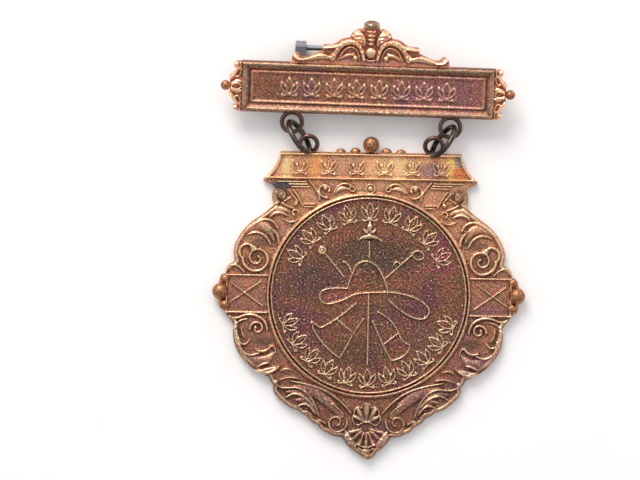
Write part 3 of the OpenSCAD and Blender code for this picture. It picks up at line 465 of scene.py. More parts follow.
# Patches of heat and damp colour: middle, half widths, tone and strength
cornice_spots = (
    ((-11.3, 17.3), (0.7, 2.4), "#ffdca0", 0.6),
    ((-7.4, 17.3), (1, 2.4), "#ffb066", 0.65),
    ((-3.5, 17.4), (2.4, 1.6), "#c08870", 0.6),
    ((3, 17.3), (2.6, 2.2), "#ffd296", 0.7),
    ((8.1, 16.8), (1.6, 1.3), "#a5777a", 0.8),
    ((10.8, 17.4), (0.6, 2), "#ffd474", 0.8),
    ((12, 16.6), (1.1, 1), "#e2784a", 0.8),
    ((12, 18.3), (0.8, 0.9), "#8f8a84", 0.8),
    ((-11.9, 14.7), (1.6, 0.7), "#434b58", 0.9)
)
foot_spots = (
    ((1.6, -19.3), (1, 1.1), "#cc7c86", 0.8),
    ((19.9, 0.3), (1, 2.4), "#d8925e", 0.5),
    ((-19.9, 0.3), (1, 2.4), "#d8925e", 0.5),
    ((-2.7, -19), (1.3, 1.2), "#7c5662", 0.75),
    ((0, -21.4), (1, 0.8), "#8c6248", 0.7),
    ((-8, -13.6), (3.4, 1.8), "#8a5c62", 0.5),
    ((-16.5, -6), (2, 2.6), "#9a6e5a", 0.5),
    ((15, 12.5), (3.4, 1.6), "#dca07c", 0.5)
)
# Painted shade in the hollow places among the scrolls and leaves of the right half, in the same columns
shaded_hollow_spots = (
    ((14.6, 6.9), (1.3, 0.7), "#5a4a3c", 0.6),
    ((15.5, 4.8), (0.9, 0.9), "#6c4c40", 0.5),
    ((12.9, 7.6), (0.7, 1.2), "#64483e", 0.5),
    ((14.1, -6.4), (1.4, 0.7), "#57483c", 0.65),
    ((15, -8.9), (1.5, 0.6), "#6e4c58", 0.6),
    ((10.2, -13.1), (1.4, 0.4), "#5c443c", 0.6),
    ((5, -15.6), (0.8, 0.9), "#7a4e44", 0.5)
)
medallion_spots = (
    ((1, 5.4), (6.5, 2.2), "#55503e", 0.6),
    ((-7.5, 1.6), (3.4, 2.6), "#574a48", 0.55),
    ((-4.6, -0.1), (1.9, 0.9), "#a4605c", 0.7),
    ((-8.6, -4.6), (3, 3.4), "#744652", 0.6),
    ((9.6, 5.2), (1.8, 3), "#9a5660", 0.55),
    ((8, -7), (4, 4), "#8a6450", 0.5),
    ((-2, -7.8), (3.6, 2), "#5c4c3e", 0.5)
)
# The bar's patches: the first is a painted highlight, a golden pool of light by the crest's left foot; the
# rest are tones
bar_tones_and_highlight = (
    ((-5.6, 31.1), (2.6, 0.6), "#ffc684", 0.8),
    ((9, 27.4), (6, 2.6), "#a8707c", 0.5),
    ((-13.4, 27.6), (2.6, 2.4), "#96694e", 0.5),
    ((16.2, 27.2), (1.4, 3), "#d89480", 0.5)
)
crest_spots = (
    ((0, 32.4), (5, 1.2), "#d08a6a", 0.5),
    ((-7.5, 31.9), (3, 1), "#ffbc80", 0.6),
    ((0, 36.4), (1.6, 0.8), "#8c6a4c", 0.6)
)
knob_spots = (((0, 10), (60, 60), "#a5764e", 0.65),)

# Lobes of the rosette's right half: where each ends, and its width
rosette_lobes = ((0, -14.75, 1.1), (1.15, -15.4, 0.85), (1.5, -16.35, 0.7))

# Upright leaves, from their points and widths: beside the shell, at the foot, and the flame over the helmet
shell_side_leaf = ([(2.8, -18.4), (2.5, -19), (2, -19.7), (1.4, -20.3)], [0.4, 1, 1, 0.5])
foot_bud = ([(0, -20.7), (0, -21.1), (0, -21.5), (0, -21.9)], [1, 1.4, 1, 0.4])
flame = ([(0, 9.9), (0, 9.3), (0, 8.8), (0, 8.3)], [0.3, 0.9, 0.8, 0.3])
flame_side = ([(0.8, 9), (0.7, 8.8), (0.4, 8.5), (0, 8.3)], [0.2, 0.5, 0.5, 0.3])

# The bar's moulding: distance from its edge, and height
moulding_steps = (
    (0, 0.95), (0.15, 1.2), (0.35, 1.3), (0.6, 1.28), (0.74, 1.06), (0.84, 1.14), (0.94, 1.04), (1.08, 0.72),
    (1.2, 0.72), (1.34, 0.96), (1.46, 0.96), (1.6, 0.78), (1.75, 0.75)
)

# Beads on the pendant: the crown's as x, y, z and radius, the sides' and the cornice's as x, y and radius
crown_bead = [0, 20.35, 1.1, 1.1]
side_knobs = ((20, 0.25, 1.1), (19.4, 1.95, 0.72), (19.4, -1.5, 0.78))
cornice_beads = ((2.1, 19.2, 0.74), (4.05, 19.05, 0.74))
CORNICE_BEAD_Z = 0.5
# Balls at the bar's ends: how far past it, how high over its back, and radius
BALL_PAST_END = 2.1
BALL_RISE = 0.62
BALL_RADIUS = 0.67


class BadgeSizes(bpy.types.PropertyGroup):
    """Sizes of the relief and its wires, in metres."""

    plate_thickness: bpy.props.FloatProperty(
        name="Plate thickness", description="Thickness of the pendant at its field",
        default=1.0 * MM, unit="LENGTH"
    )
    line_height: bpy.props.FloatProperty(
        name="Line height", description="Height of the raised lines above the field",
        default=0.4 * MM, unit="LENGTH"
    )
    relief_step: bpy.props.FloatProperty(
        name="Relief step", description="Spacing of the points that a relief is drawn on",
        default=0.09 * MM, unit="LENGTH"
    )
    ring_wire: bpy.props.FloatProperty(
        name="Ring wire", description="Wire diameter of the jump rings", default=0.74 * MM, unit="LENGTH"
    )
    eyelet_wire: bpy.props.FloatProperty(
        name="Eyelet wire", description="Wire diameter of the eyelets", default=0.6 * MM, unit="LENGTH"
    )


class BadgeColours(bpy.types.PropertyGroup):
    """Colours of the metals and the board, as sRGB hex values."""

    field: bpy.props.StringProperty(name="Field", description="Aged brass of the field", default="#b87a62")
    plum: bpy.props.StringProperty(name="Plum", description="Purple tarnish in patches", default="#94636c")
    olive: bpy.props.StringProperty(name="Olive", description="Olive tarnish in patches", default="#8f7452")
    gilt: bpy.props.StringProperty(name="Gilt", description="Golden brass of the cornice", default="#f6b684")
    # The rubbed tone also stands for painted highlight on the raised lines
    worn_and_highlight: bpy.props.StringProperty(name="Worn", description="Rubbed tops of the relief", default="#ffdcb2")
    grime: bpy.props.StringProperty(name="Grime", description="Dirt in the recesses", default="#5e4236")
    wire: bpy.props.StringProperty(name="Wire", description="Darkened wire of the rings", default="#453f3b")
    steel: bpy.props.StringProperty(name="Steel", description="Dulled steel of the pin", default="#7f838b")
    floor: bpy.props.StringProperty(name="Floor", description="Pale board it lies on", default="#f3efec")


def linear(text):
    """An sRGB hex colour as linear RGBA."""
    values = [int(text[i:i + 2], 16) / 255 for i in (1, 3, 5)]
    return [v / 12.92 if v <= 0.04045 else ((v + 0.055) / 1.055) ** 2.4 for v in values] + [1.0]


def mirrored(rows, axis=0):
    """Half an outline, then its other half: a right half's left, or with axis 1 an upper half's lower."""
    back = []
    for i in range(len(rows) - 1, -1, -1):
        if rows[i][axis] > 0:
            other = [rows[i][0], rows[i][1], rows[i - 1][2] if i > 0 else 0]
            other[axis] = -other[axis]
            back.append(other)
    return rows + back


def bulged(rows, steps=8):
    """The points of an outline whose sides bulge out by their own amounts."""
    points = []
    for i, row in enumerate(rows):
        p = np.array(row[:2], float)
        side = np.array(rows[(i + 1) % len(rows)][:2], float) - p
        out = np.array([-side[1], side[0]]) / max(np.hypot(*side), 0.001)
        count = 1 if row[2] == 0 else steps
        for k in range(count):
            t = k / count
            points.append(p + side * t + out * 4 * row[2] * t * (1 - t))
    return np.array(points)


def cubic(row, steps=14):
    """Points and widths along a cubic curve of a table."""
    t = np.linspace(0, 1, steps + 1)[:, None]
    a, b, c, d = [np.array(row[i:i + 2], float) for i in (0, 2, 4, 6)]
    path = a * (1 - t) ** 3 + 3 * b * t * (1 - t) ** 2 + 3 * c * t * t * (1 - t) + d * t ** 3
    t = t[:, 0]
    width = row[8] * (1 - t) * (1 - 2 * t) + row[9] * 4 * t * (1 - t) + row[10] * t * (2 * t - 1)
    return path, width


def spiral(row, degrees=9):
    """Points and widths along a scroll of a table."""
    x, y, r0, r1, a0, a1, w0, w1 = row
    t = np.linspace(0, 1, int(abs(a1 - a0) / degrees) + 1)
    a = np.radians(a0 + (a1 - a0) * t)
    r = r0 + (r1 - r0) * t
    return np.stack([x + r * np.cos(a), y + r * np.sin(a)], 1), w0 + (w1 - w0) * t


def circle_points(x, y, r, angles):
    """Points on a circle at some angles, in radians."""
    return np.stack([x + r * np.cos(angles), y + r * np.sin(angles)], 1)


def rectangle(left, right, low, high):
    """Corners of a rectangle."""
    return [(left, low), (right, low), (right, high), (left, high)]


def ramp(values, start, reach, top=1):
    """A straight rise from 0 at its start, by 1 for each reach past that, up to a top."""
    return np.clip((values - start) / reach, 0, top)


def soft_line(s):
    """Section of a raised line: a filleted foot and a rounded top, from 0 at its edge to 1 at its middle."""
    s = np.clip(s * 1.2, 0, 1)
    return s * s * (3 - 2 * s)


def round_top(s):
    """Section of a dome, from 0 at its edge to 1 at its middle."""
    return np.sqrt(np.clip(1 - (1 - s) ** 2, 0, 1))


def full_leaf(s):
    """Section of a leaf's body: a crowned swelling."""
    return round_top(s) * np.clip(s * 4, 0, 1) ** 0.5


def blurred(z, cells, times=3):
    """A height field averaged over a square of cells, some times over."""
    for _ in range(times):
        for axis in (0, 1):
            pad = [(0, 0), (0, 0)]
            pad[axis] = (cells + 1, cells)
            total = np.cumsum(np.pad(z, pad, mode="edge"), axis=axis)
            n = z.shape[axis]
            high = np.take(total, range(2 * cells + 1, 2 * cells + 1 + n), axis=axis)
            low = np.take(total, range(0, n), axis=axis)
            z = (high - low) / (2 * cells + 1)
    return z


class Relief:
    """A height field inside flat loops, drawn in millimetres with soft-edged strokes."""

    def __init__(self, loops, step):
        self.loops = [np.array(loop, float) for loop in loops]
        self.step = step
        lo, hi = self.loops[0].min(0) - 2 * step, self.loops[0].max(0) + 2 * step
        self.xs, self.ys = [np.arange(lo[axis], hi[axis] + step, step) for axis in (0, 1)]
        self.x, self.y = np.meshgrid(self.xs, self.ys)
        # The darker share of each point is tarnish, and also painted shade at some parts
        self.body, self.line, self.dull, self.gilt = [np.zeros_like(self.x) for _ in range(4)]
        self.measure()

    def window(self, lo, hi, margin):
        """The slice of the grid round a box."""
        ends = []
        for axis, line in ((1, self.ys), (0, self.xs)):
            first = int((lo[axis] - margin - line[0]) / self.step)
            last = int((hi[axis] + margin - line[0]) / self.step) + 2
            ends.append(slice(max(first, 0), max(min(last, len(line)), 0)))
        return tuple(ends)

    def along(self, p, q, margin):
        """For the grid near a straight piece: its slice, share along, and offsets from the nearest point."""
        part = self.window(np.minimum(p, q), np.maximum(p, q), margin)
        x, y, side = self.x[part], self.y[part], q - p
        length = max(side @ side, 1e-9)
        t = np.clip(((x - p[0]) * side[0] + (y - p[1]) * side[1]) / length, 0, 1)
        return part, t, x - p[0] - t * side[0], y - p[1] - t * side[1]

    def measure(self):
        """Finds which points are inside, and each point's distance and way to the nearest edge."""
        reach = 2.0
        self.inside = np.zeros(self.x.shape, bool)
        self.gap = np.full(self.x.shape, reach + 1)
        self.to_x, self.to_y = np.zeros_like(self.x), np.zeros_like(self.x)
        for loop in self.loops:
            for p, q in zip(loop, np.roll(loop, -1, 0)):
                if p[1] != q[1]:
                    rows = (self.ys > min(p[1], q[1])) & (self.ys <= max(p[1], q[1]))
                    cross = p[0] + (self.ys[rows] - p[1]) * (q[0] - p[0]) / (q[1] - p[1])
                    self.inside[rows] ^= self.xs[None, :] < cross[:, None]
                part, _, dx, dy = self.along(p, q, reach)
                d = np.hypot(dx, dy)
                near = d < self.gap[part]
                for store, value in ((self.gap, d), (self.to_x, -dx), (self.to_y, -dy)):
                    store[part] = np.where(near, value, store[part])

    def raise_along(self, layer, path, width, full, section, soft):
        """Raises a body of changing width and height along a path, with one section from edge to middle."""
        for k in range(len(path) - 1):
            part, t, dx, dy = self.along(path[k], path[k + 1], max(width[k], width[k + 1]) / 2 + soft)
            if layer[part].size:
                half = (width[k] + (width[k + 1] - width[k]) * t) / 2 + soft
                s = np.clip(1 - np.hypot(dx, dy) / half, 0, 1)
                top = full[k] + (full[k + 1] - full[k]) * t
                layer[part] = np.maximum(layer[part], top * section(s))

    def stroke(self, path, width, height, soft=0.06):
        """Raises a line of changing width along a path."""
        path = np.asarray(path, float)
        width = np.broadcast_to(np.asarray(width, float), len(path))
        self.raise_along(self.line, path, width, np.full(len(path), height), soft_line, soft)

    def leaf(self, path, width, height):
        """Raises a rounded body along a path, lower where it is narrow."""
        path, width = np.asarray(path, float), np.asarray(width, float)
        self.raise_along(self.body, path, width, height * np.sqrt(width / width.max()), full_leaf, 0)

    def strokes(self, rows, height, flip=(1, 1), share=1.0):
        """Raises the lines of a table, turned over as flip says, at a share of their widths."""
        for row in rows:
            path, width = cubic(row)
            self.stroke(path * flip, width * share, height)

    def leaves(self, rows, height, flip=(1, 1)):
        """Raises the rounded bodies of a table, turned over as flip says."""
        for row in rows:
            path, width = cubic(row)
            self.leaf(path * flip, width, height)

    def dome(self, x, y, r, height, tall=1.0):
        """Raises a rounded dome, which may be flatter than it is wide."""
        part = self.window(np.array([x, y]), np.array([x, y]), r)
        s = np.clip(1 - np.hypot(self.x[part] - x, (self.y[part] - y) / tall) / r, 0, 1)
        self.body[part] = np.maximum(self.body[part], height * round_top(s))

    def circle(self, x, y, r, width, height):
        """Raises a line round a circle."""
        angles = np.linspace(0, 2 * math.pi, max(int(r * 14), 24))
        self.stroke(circle_points(x, y, r, angles), width, height)

    def motif(self, x, y, turn, size, height):
        """Raises one motif, standing on x, y and turned clockwise."""
        c, s = math.cos(math.radians(turn)), math.sin(math.radians(turn))
        turned = np.array([[c, -s], [s, c]])
        for side in SIDES:
            for row in motif_half:
                path, width = cubic(row, 8)
                path = path * (side, 1) @ turned * size + (x, y)
                self.stroke(path, np.maximum(width * size, 0.11), height, soft=0.05)
        path, width = cubic(motif_heart, 4)
        self.leaf(path @ turned * size + (x, y), width * size, height * 0.4)

    def motif_row(self, count, span, y, size, height):
        """Raises a row of upright motifs over a span."""
        for i in range(count):
            self.motif(span * (i / (count - 1) - 0.5), y, 0, size, height)

    def motif_arc(self, count, spread, r, turn, size, height):
        """Raises motifs along an arc round the middle, from its top, or from its foot where turn is 180."""
        for i in range(count):
            a = spread * (i / (count - 1) - 0.5)
            t = math.radians(a + turn)
            self.motif(r * math.sin(t), r * math.cos(t), a, size, height)

    def height(self, base):
        """The whole height field: the lines ride a little over the bodies that they cross."""
        return base + np.maximum(self.body, self.line) + 0.4 * np.minimum(self.body, self.line)

    def mesh(self, name, z, rounding, place=None, hollow=None):
        """A closed mesh of a height field: its edge on the outline, rounded at the top and bevelled below."""
        level = blurred(z, max(int(AVERAGE_REACH / self.step), 1))
        # Tops above the average take the rubbed tone, partly real rubbing and partly painted highlight
        worn_and_highlight, recess = ramp(z, level, RUBBED_AND_HIGHLIT_RISE), ramp(level, z, DIRTY_DROP)
        e = np.where(self.inside, self.gap, 0)
        fall = rounding - np.sqrt(np.clip(rounding ** 2 - np.clip(rounding - e, 0, rounding) ** 2, 0, None))
        z = z - fall
        inside = self.inside
        cell = inside[:-1, :-1] | inside[1:, :-1] | inside[:-1, 1:] | inside[1:, 1:]
        used = np.zeros(self.x.shape, bool)
        for rows in (slice(0, -1), slice(1, None)):
            for columns in (slice(0, -1), slice(1, None)):
                used[rows, columns] |= cell
        number = np.full(self.x.shape, -1)
        number[used] = np.arange(used.sum())
        snap = used & ~inside
        x, y = np.where(snap, self.x + self.to_x, self.x), np.where(snap, self.y + self.to_y, self.y)
        top = np.stack([x[used], y[used], z[used]], 1)
        j, i = np.nonzero(cell)
        quads = np.stack([number[j, i], number[j, i + 1], number[j + 1, i + 1], number[j + 1, i]], 1)
        edges = np.concatenate([quads[:, [0, 1]], quads[:, [1, 2]], quads[:, [2, 3]], quads[:, [3, 0]]])
        low_end, high_end = np.sort(edges, 1).T
        keys = low_end * (len(top) + 1) + high_end
        _, first, count = np.unique(keys, return_index=True, return_counts=True)
        rim = edges[first[count == 1]]
        ring = np.unique(rim)
        place_in_ring = np.full(len(top), -1)
        place_in_ring[ring] = np.arange(len(ring))
        inward = np.stack([self.to_x[used][ring], self.to_y[used][ring]], 1)
        inward /= np.maximum(np.hypot(inward[:, 0], inward[:, 1]), 1e-6)[:, None]
        low = np.column_stack([top[ring, :2], np.full(len(ring), BACK_BEVEL)])
        sole = np.column_stack([top[ring, :2] + inward * BACK_BEVEL, np.zeros(len(ring))])
        points = np.concatenate([top, low, sole])
        a, b = rim[:, 0], rim[:, 1]
        a1, b1 = len(top) + place_in_ring[a], len(top) + place_in_ring[b]
        a2, b2 = a1 + len(ring), b1 + len(ring)
        walls = np.concatenate([np.stack([b, a, a1, b1], 1), np.stack([b1, a1, a2, b2], 1)])
        wear = np.concatenate([worn_and_highlight[used], worn_and_highlight[used][ring] * 0.3 + 0.4, np.zeros(len(ring))])
        dirt = np.concatenate([recess[used], np.full(2 * len(ring), 0.3)])
        tarnish, gilt = [
            np.concatenate([f[used], f[used][ring], f[used][ring]]) for f in (self.dull, self.gilt)
        ]
        data = bpy.data.meshes.new(name)
        data.from_pydata(points.tolist(), [], np.concatenate([quads, walls]).tolist())
        for label, values in zip(MARKS, (wear, dirt, tarnish, gilt)):
            layer = data.attributes.new(label, "FLOAT", "POINT")
            layer.data.foreach_set("value", values.astype(np.float32))
        close_back(data, len(top) + len(ring), hollow, place or Matrix())
        return data


def close_back(data, sole_start, hollow, place):
    """Closes a relief's back, which may be hollowed in a rectangle, and sets the mesh in its place."""
    bm = bmesh.new()
    bm.from_mesh(data)
    bm.verts.ensure_lookup_table()
    open_edges = [e for e in bm.edges if e.is_boundary]
    if hollow:
        half_l, half_h, depth = hollow
        z = bm.verts[sole_start].co.z
        corners = rectangle(-half_l, half_l, -half_h, half_h)
        low = [bm.verts.new((x, y, z)) for x, y in corners]
        high = [bm.verts.new((x, y, z + depth)) for x, y in corners]
        recess = bm.verts.layers.float["recess"]
        for v in high:
            v[recess] = 0.8
        open_edges += [bm.edges.new((low[k], low[(k + 1) % 4])) for k in range(4)]
        for k in range(4):
            bm.faces.new((low[k], low[(k + 1) % 4], high[(k + 1) % 4], high[k]))
        bm.faces.new(high)
    made = bmesh.ops.triangle_fill(
        bm, use_beauty=True, use_dissolve=False, edges=open_edges, normal=(0, 0, -1)
    )
    flat = {f for f in made["geom"] if isinstance(f, bmesh.types.BMFace)}
    for face in bm.faces:
        face.smooth = face not in flat and len(face.verts) == 4
    bmesh.ops.remove_doubles(bm, verts=bm.verts, dist=1e-5)
    bmesh.ops.recalc_face_normals(bm, faces=bm.faces)
    bmesh.ops.transform(bm, matrix=place, verts=bm.verts)
    bmesh.ops.scale(bm, vec=(MM, MM, MM), verts=bm.verts)
    bm.to_mesh(data)
    bm.free()


def bar_place():
    """The bar's own frame, from its back's middle: along, up and out, in millimetres."""
    tilt = math.radians(BAR_TILT)
    lift = JOINT_DEPTH * math.cos(tilt) - FOOT_RISE * math.sin(tilt)
    move = Matrix.Translation((0, BAR_LOWER_EDGE_Y + BAR_HALF_HEIGHT * math.cos(tilt), lift))
    turn = Matrix.Rotation(math.radians(-BAR_TURN), 4, "Z")
    return move @ turn @ Matrix.Rotation(tilt, 4, "X") @ Matrix.Translation((-BAR_SHIFT, 0, 0))


def show(data, body, slot, material, *nodes):
    """Makes an object of a mesh, gives it its material, and ties it to its body and the nodes it replaces."""
    piece = bpy.data.objects.new(data.name, data)
    bpy.context.scene.collection.objects.link(piece)
    if not data.materials:
        data.materials.append(material)
    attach(piece, body)
    if nodes:
        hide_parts(*nodes)
    return piece


def add_node(tree, kind, inputs=None, **settings):
    """Adds a node, sets its own settings, and fills its inputs with values or links."""
    node = tree.nodes.new(kind)
    for name, value in settings.items():
        setattr(node, name, value)
    for key, value in (inputs or {}).items():
        if isinstance(value, bpy.types.NodeSocket):
            tree.links.new(value, node.inputs[key])
        else:
            node.inputs[key].default_value = value
    return node


def new_material(name):
    """The tree of a new, bare node material, and the object's own coordinates."""
    material = bpy.data.materials.new(name)
    material.use_nodes = True
    tree = material.node_tree
    tree.nodes.clear()
    return tree, add_node(tree, "ShaderNodeTexCoord").outputs["Object"]


def finish_material(tree, settings):
    """Ends a material's tree in its shader, with the shader's inputs."""
    shader = add_node(tree, "ShaderNodeBsdfPrincipled", settings)
    add_node(tree, "ShaderNodeOutputMaterial", {"Surface": shader.outputs[0]})


def struck_brass(name, colours, spots, shade=1.0, rub_and_highlight=0.55, dirt=0.7, pits=0.05, mottle_and_glints=0.5, worn_and_highlight=None):
    """Struck and cast brass, never lacquered: plum and olive tarnish in patches, rubbed bright on the raised
    lines, a brightness that is partly real rubbing and partly painted highlight, with brown dirt in the
    recesses, tarnish that is also painted shade on some parts, and a fine grain of pits with painted white
    specks of glint. Some of its patches are painted shade, and one is a painted highlight. The shade is the
    metal's own lightness. The colour of its rubbed metal, also its painted highlight, may be given where that
    differs from the badge's."""
    tree, place = new_material(name)
    field, plum, olive, gold, grime = [
        [min(v * shade, 1) for v in linear(getattr(colours, key))[:3]] + [1]
        for key in ("field", "plum", "olive", "gilt", "grime")
    ]
    wear, recess, tarnish, gilt = [
        add_node(tree, "ShaderNodeAttribute", attribute_name=label).outputs["Fac"] for label in MARKS
    ]
    # Tarnish in patches of 5 mm and 1.4 mm, flecks of 0.5 mm, and a grain of 0.25 mm, the finest that shows
    patches, mottle, flecks, grain = [
        add_node(tree, "ShaderNodeTexNoise",
                 {"Vector": place, "Scale": 1 / size / MM, "Detail": detail, "Roughness": rough}).outputs
        for size, detail, rough in ((5, 3.0, 0.6), (1.4, 4.0, 0.7), (0.5, 2.0, 0.6), (0.25, 2.0, 0.6))
    ]
    # The rubbed share brightens the raised lines, partly as real rubbing and partly as painted highlight
    rubbed, soiled = [
        add_node(tree, "ShaderNodeMath", {0: mark, 1: share}, operation="MULTIPLY", use_clamp=True).outputs[0]
        for mark, share in ((wear, rub_and_highlight), (recess, dirt))
    ]
    # The fourth range picks painted highlight: white glinting specks where the fine grain is highest
    plum_share, olive_share, speckle, painted_glints, rough = [
        add_node(tree, "ShaderNodeMapRange", {0: source, 1: low, 2: high, 3: start, 4: end}).outputs[0]
        for source, low, high, start, end in (
            (patches[0], 0.48, 0.66, 0.0, 0.8),
            (mottle[0], 0.5, 0.66, 0.0, 0.8),
            (grain[0], 0.35, 0.65, 0.05, 0.95),
            (grain[0], 0.65, 0.71, 0.0, 1.3 * mottle_and_glints),
            (rubbed, 0.0, 0.5, 0.42, 0.28),
        )
    ]
    layers = [(plum_share, plum, "MIX"), (olive_share, olive, "MIX"), (gilt, gold, "MIX")]
    for (x, y), (wide, tall), tone, share in spots:
        offset = add_node(tree, "ShaderNodeVectorMath", {0: place, 1: (x * MM, y * MM, 0)},
                          operation="SUBTRACT")
        scaled = add_node(tree, "ShaderNodeVectorMath",
                          {0: offset.outputs[0], 1: (1 / wide / MM, 1 / tall / MM, 0)}, operation="MULTIPLY")
        away = add_node(tree, "ShaderNodeVectorMath", {0: scaled.outputs[0]}, operation="LENGTH")
        ragged = add_node(tree, "ShaderNodeMath", {0: mottle[0], 1: 1.2, 2: away.outputs["Value"]},
                          operation="MULTIPLY_ADD")
        part = add_node(tree, "ShaderNodeMapRange", {0: ragged.outputs[0], 1: 1.2, 2: 1.9, 3: share, 4: 0.0})
        layers.append((part.outputs[0], linear(tone), "MIX"))
    layers += [
        # Rubbed tone, partly real rubbing and partly painted highlight
        (rubbed, linear(worn_and_highlight or colours.worn_and_highlight), "MIX"),
        (soiled, grime, "MIX"),
        # Tarnish brown, also painted shade on the plate's foot and the bar's bands
        (tarnish, linear(TARNISH_AND_SHADE_BROWN), "MIX"),
        (mottle_and_glints * 0.8, flecks["Color"], "OVERLAY"),
        (mottle_and_glints, speckle, "OVERLAY"),
        # Painted highlight: white glinting specks in the grain
        (painted_glints, linear(PAINTED_GLINT_WHITE), "MIX"),
    ]
    colour = field
    for share, tone, blend in layers:
        mixed = add_node(tree, "ShaderNodeMix", {0: share, 6: colour, 7: tone},
                         data_type="RGBA", blend_type=blend)
        colour = mixed.outputs[2]
    rougher, relief = [
        add_node(tree, "ShaderNodeMath", {0: source, 1: share, 2: base}, operation="MULTIPLY_ADD").outputs[0]
        for source, share, base in ((soiled, 0.25, rough), (mottle[0], 0.6, grain[0]))
    ]
    bump = add_node(tree, "ShaderNodeBump", {"Strength": 0.7, "Distance": pits * MM, "Height": relief})
    finish_material(tree, {
        "Base Color": colour, "Metallic": 1.0, "Roughness": rougher, "Normal": bump.outputs[0]
    })


def dark_wire(name, tone, rough, spread):
    """Drawn wire, darkened by handling: smooth, with lighter blotches that are partly bare spots where the
    tarnish has rubbed off and partly painted highlight.
    """
    tree, place = new_material(name)
    blotch = add_node(tree, "ShaderNodeTexNoise",
                      {"Vector": place, "Scale": 1 / 0.0012, "Detail": 4.0, "Roughness": 0.7})
    grain = add_node(tree, "ShaderNodeTexNoise", {"Vector": place, "Scale": 1 / 0.0002, "Detail": 2.0})
    # The lighter blotch tone is partly bare metal and partly painted highlight
    share = add_node(tree, "ShaderNodeMapRange", {0: blotch.outputs[0], 1: 0.35, 2: 0.68, 3: 0.0, 4: spread})
    colour = add_node(tree, "ShaderNodeMix", {0: share.outputs[0], 6: linear(tone), 7: linear("#8f8178")},
                      data_type="RGBA")
    matt = add_node(tree, "ShaderNodeMapRange",
                    {0: blotch.outputs[0], 1: 0.3, 2: 0.7, 3: rough + 0.15, 4: rough})
    bump = add_node(tree, "ShaderNodeBump",
                    {"Strength": 0.3, "Distance": 0.03 * MM, "Height": grain.outputs[0]})
    finish_material(tree, {
        "Base Color": colour.outputs[2], "Metallic": 1.0, "Roughness": matt.outputs[0],
        "Normal": bump.outputs[0]
    })


def pale_board(name, tone):
    """Matt painted board: pale, with a faint unevenness."""
    tree, place = new_material(name)
    cloud = add_node(tree, "ShaderNodeTexNoise", {"Vector": place, "Scale": 1 / 0.03, "Detail": 3.0})
    colour = add_node(tree, "ShaderNodeMix", {0: cloud.outputs[0], 6: linear(tone), 7: linear("#fffdfb")},
                      data_type="RGBA")
    finish_material(tree, {"Base Color": colour.outputs[2], "Roughness": 0.7})


def start_tree(name, size_label):
    """A Geometry Nodes tree with a named size and a material, and its input node."""
    tree = bpy.data.node_groups.new(name, "GeometryNodeTree")
    for label, way, kind in (
        ("Geometry", "INPUT", "NodeSocketGeometry"),
        (size_label, "INPUT", "NodeSocketFloat"),
        ("Material", "INPUT", "NodeSocketMaterial"),
        ("Geometry", "OUTPUT", "NodeSocketGeometry"),
    ):
        tree.interface.new_socket(label, in_out=way, socket_type=kind)
    return tree, add_node(tree, "NodeGroupInput")


def finish_tree(tree, shape, material):
    """Ends a Geometry Nodes tree: smooth, real instances, with the material set."""
    smooth = add_node(tree, "GeometryNodeSetShadeSmooth", {0: shape.outputs[0], "Shade Smooth": True})
    real = add_node(tree, "GeometryNodeRealizeInstances", {0: smooth.outputs[0]})
    coated = add_node(tree, "GeometryNodeSetMaterial", {0: real.outputs[0], "Material": material})
    add_node(tree, "NodeGroupOutput", {0: coated.outputs[0]})
    return tree


def wire_tree():
    """Geometry Nodes: a round wire along the edges of a mesh."""
    tree, given = start_tree("Wire along a path", "Wire radius")
    path = add_node(tree, "GeometryNodeMeshToCurve", {"Mesh": given.outputs[0]})
    section = add_node(tree, "GeometryNodeCurvePrimitiveCircle",
                       {"Resolution": 20, "Radius": given.outputs[1]})
    wire = add_node(tree, "GeometryNodeCurveToMesh",
                    {"Curve": path.outputs[0], "Profile Curve": section.outputs[0], "Fill Caps": True})
    return finish_tree(tree, wire, given.outputs[2])


def bead_tree():
    """Geometry Nodes: a rounded bead on each point, as large as the point's own radius says."""
    tree, given = start_tree("Beads on points", "Flattening")
    radius = add_node(tree, "GeometryNodeInputNamedAttribute", {"Name": "bead_radius"}, data_type="FLOAT")
    ball = add_node(tree, "GeometryNodeMeshUVSphere", {"Segments": 28, "Rings": 16, "Radius": 1.0})
    flat = add_node(tree, "ShaderNodeCombineXYZ", {"X": 1.0, "Y": 1.0, "Z": given.outputs[1]})
    size = add_node(tree, "ShaderNodeVectorMath", {0: flat.outputs[0], "Scale": radius.outputs[0]},
                    operation="SCALE")
    beads = add_node(tree, "GeometryNodeInstanceOnPoints",
                     {"Points": given.outputs[0], "Instance": ball.outputs[0], "Scale": size.outputs[0]})
    return finish_tree(tree, beads, given.outputs[2])


def grown(name, data, tree, values):
    """The plain mesh that a Geometry Nodes tree makes of a mesh, with its inputs set by name."""
    seed = bpy.data.objects.new(name + "_seed", data)
    bpy.context.scene.collection.objects.link(seed)
    modifier = seed.modifiers.new("Grow", "NODES")
    modifier.node_group = tree
    for item in tree.interface.items_tree:
        if item.in_out == "INPUT" and item.name in values:
            modifier[item.identifier] = values[item.name]
    graph = bpy.context.evaluated_depsgraph_get()
    made = bpy.data.meshes.new_from_object(seed.evaluated_get(graph), depsgraph=graph)
    made.name = name
    bpy.data.objects.remove(seed)
    radius = made.attributes.get("bead_radius")
    if radius:
        made.attributes.remove(radius)
    bm = bmesh.new()
    bm.from_mesh(made)
    bmesh.ops.remove_doubles(bm, verts=bm.verts, dist=1e-7)
    bmesh.ops.recalc_face_normals(bm, faces=bm.faces)
    bm.to_mesh(made)
    bm.free()
    return made


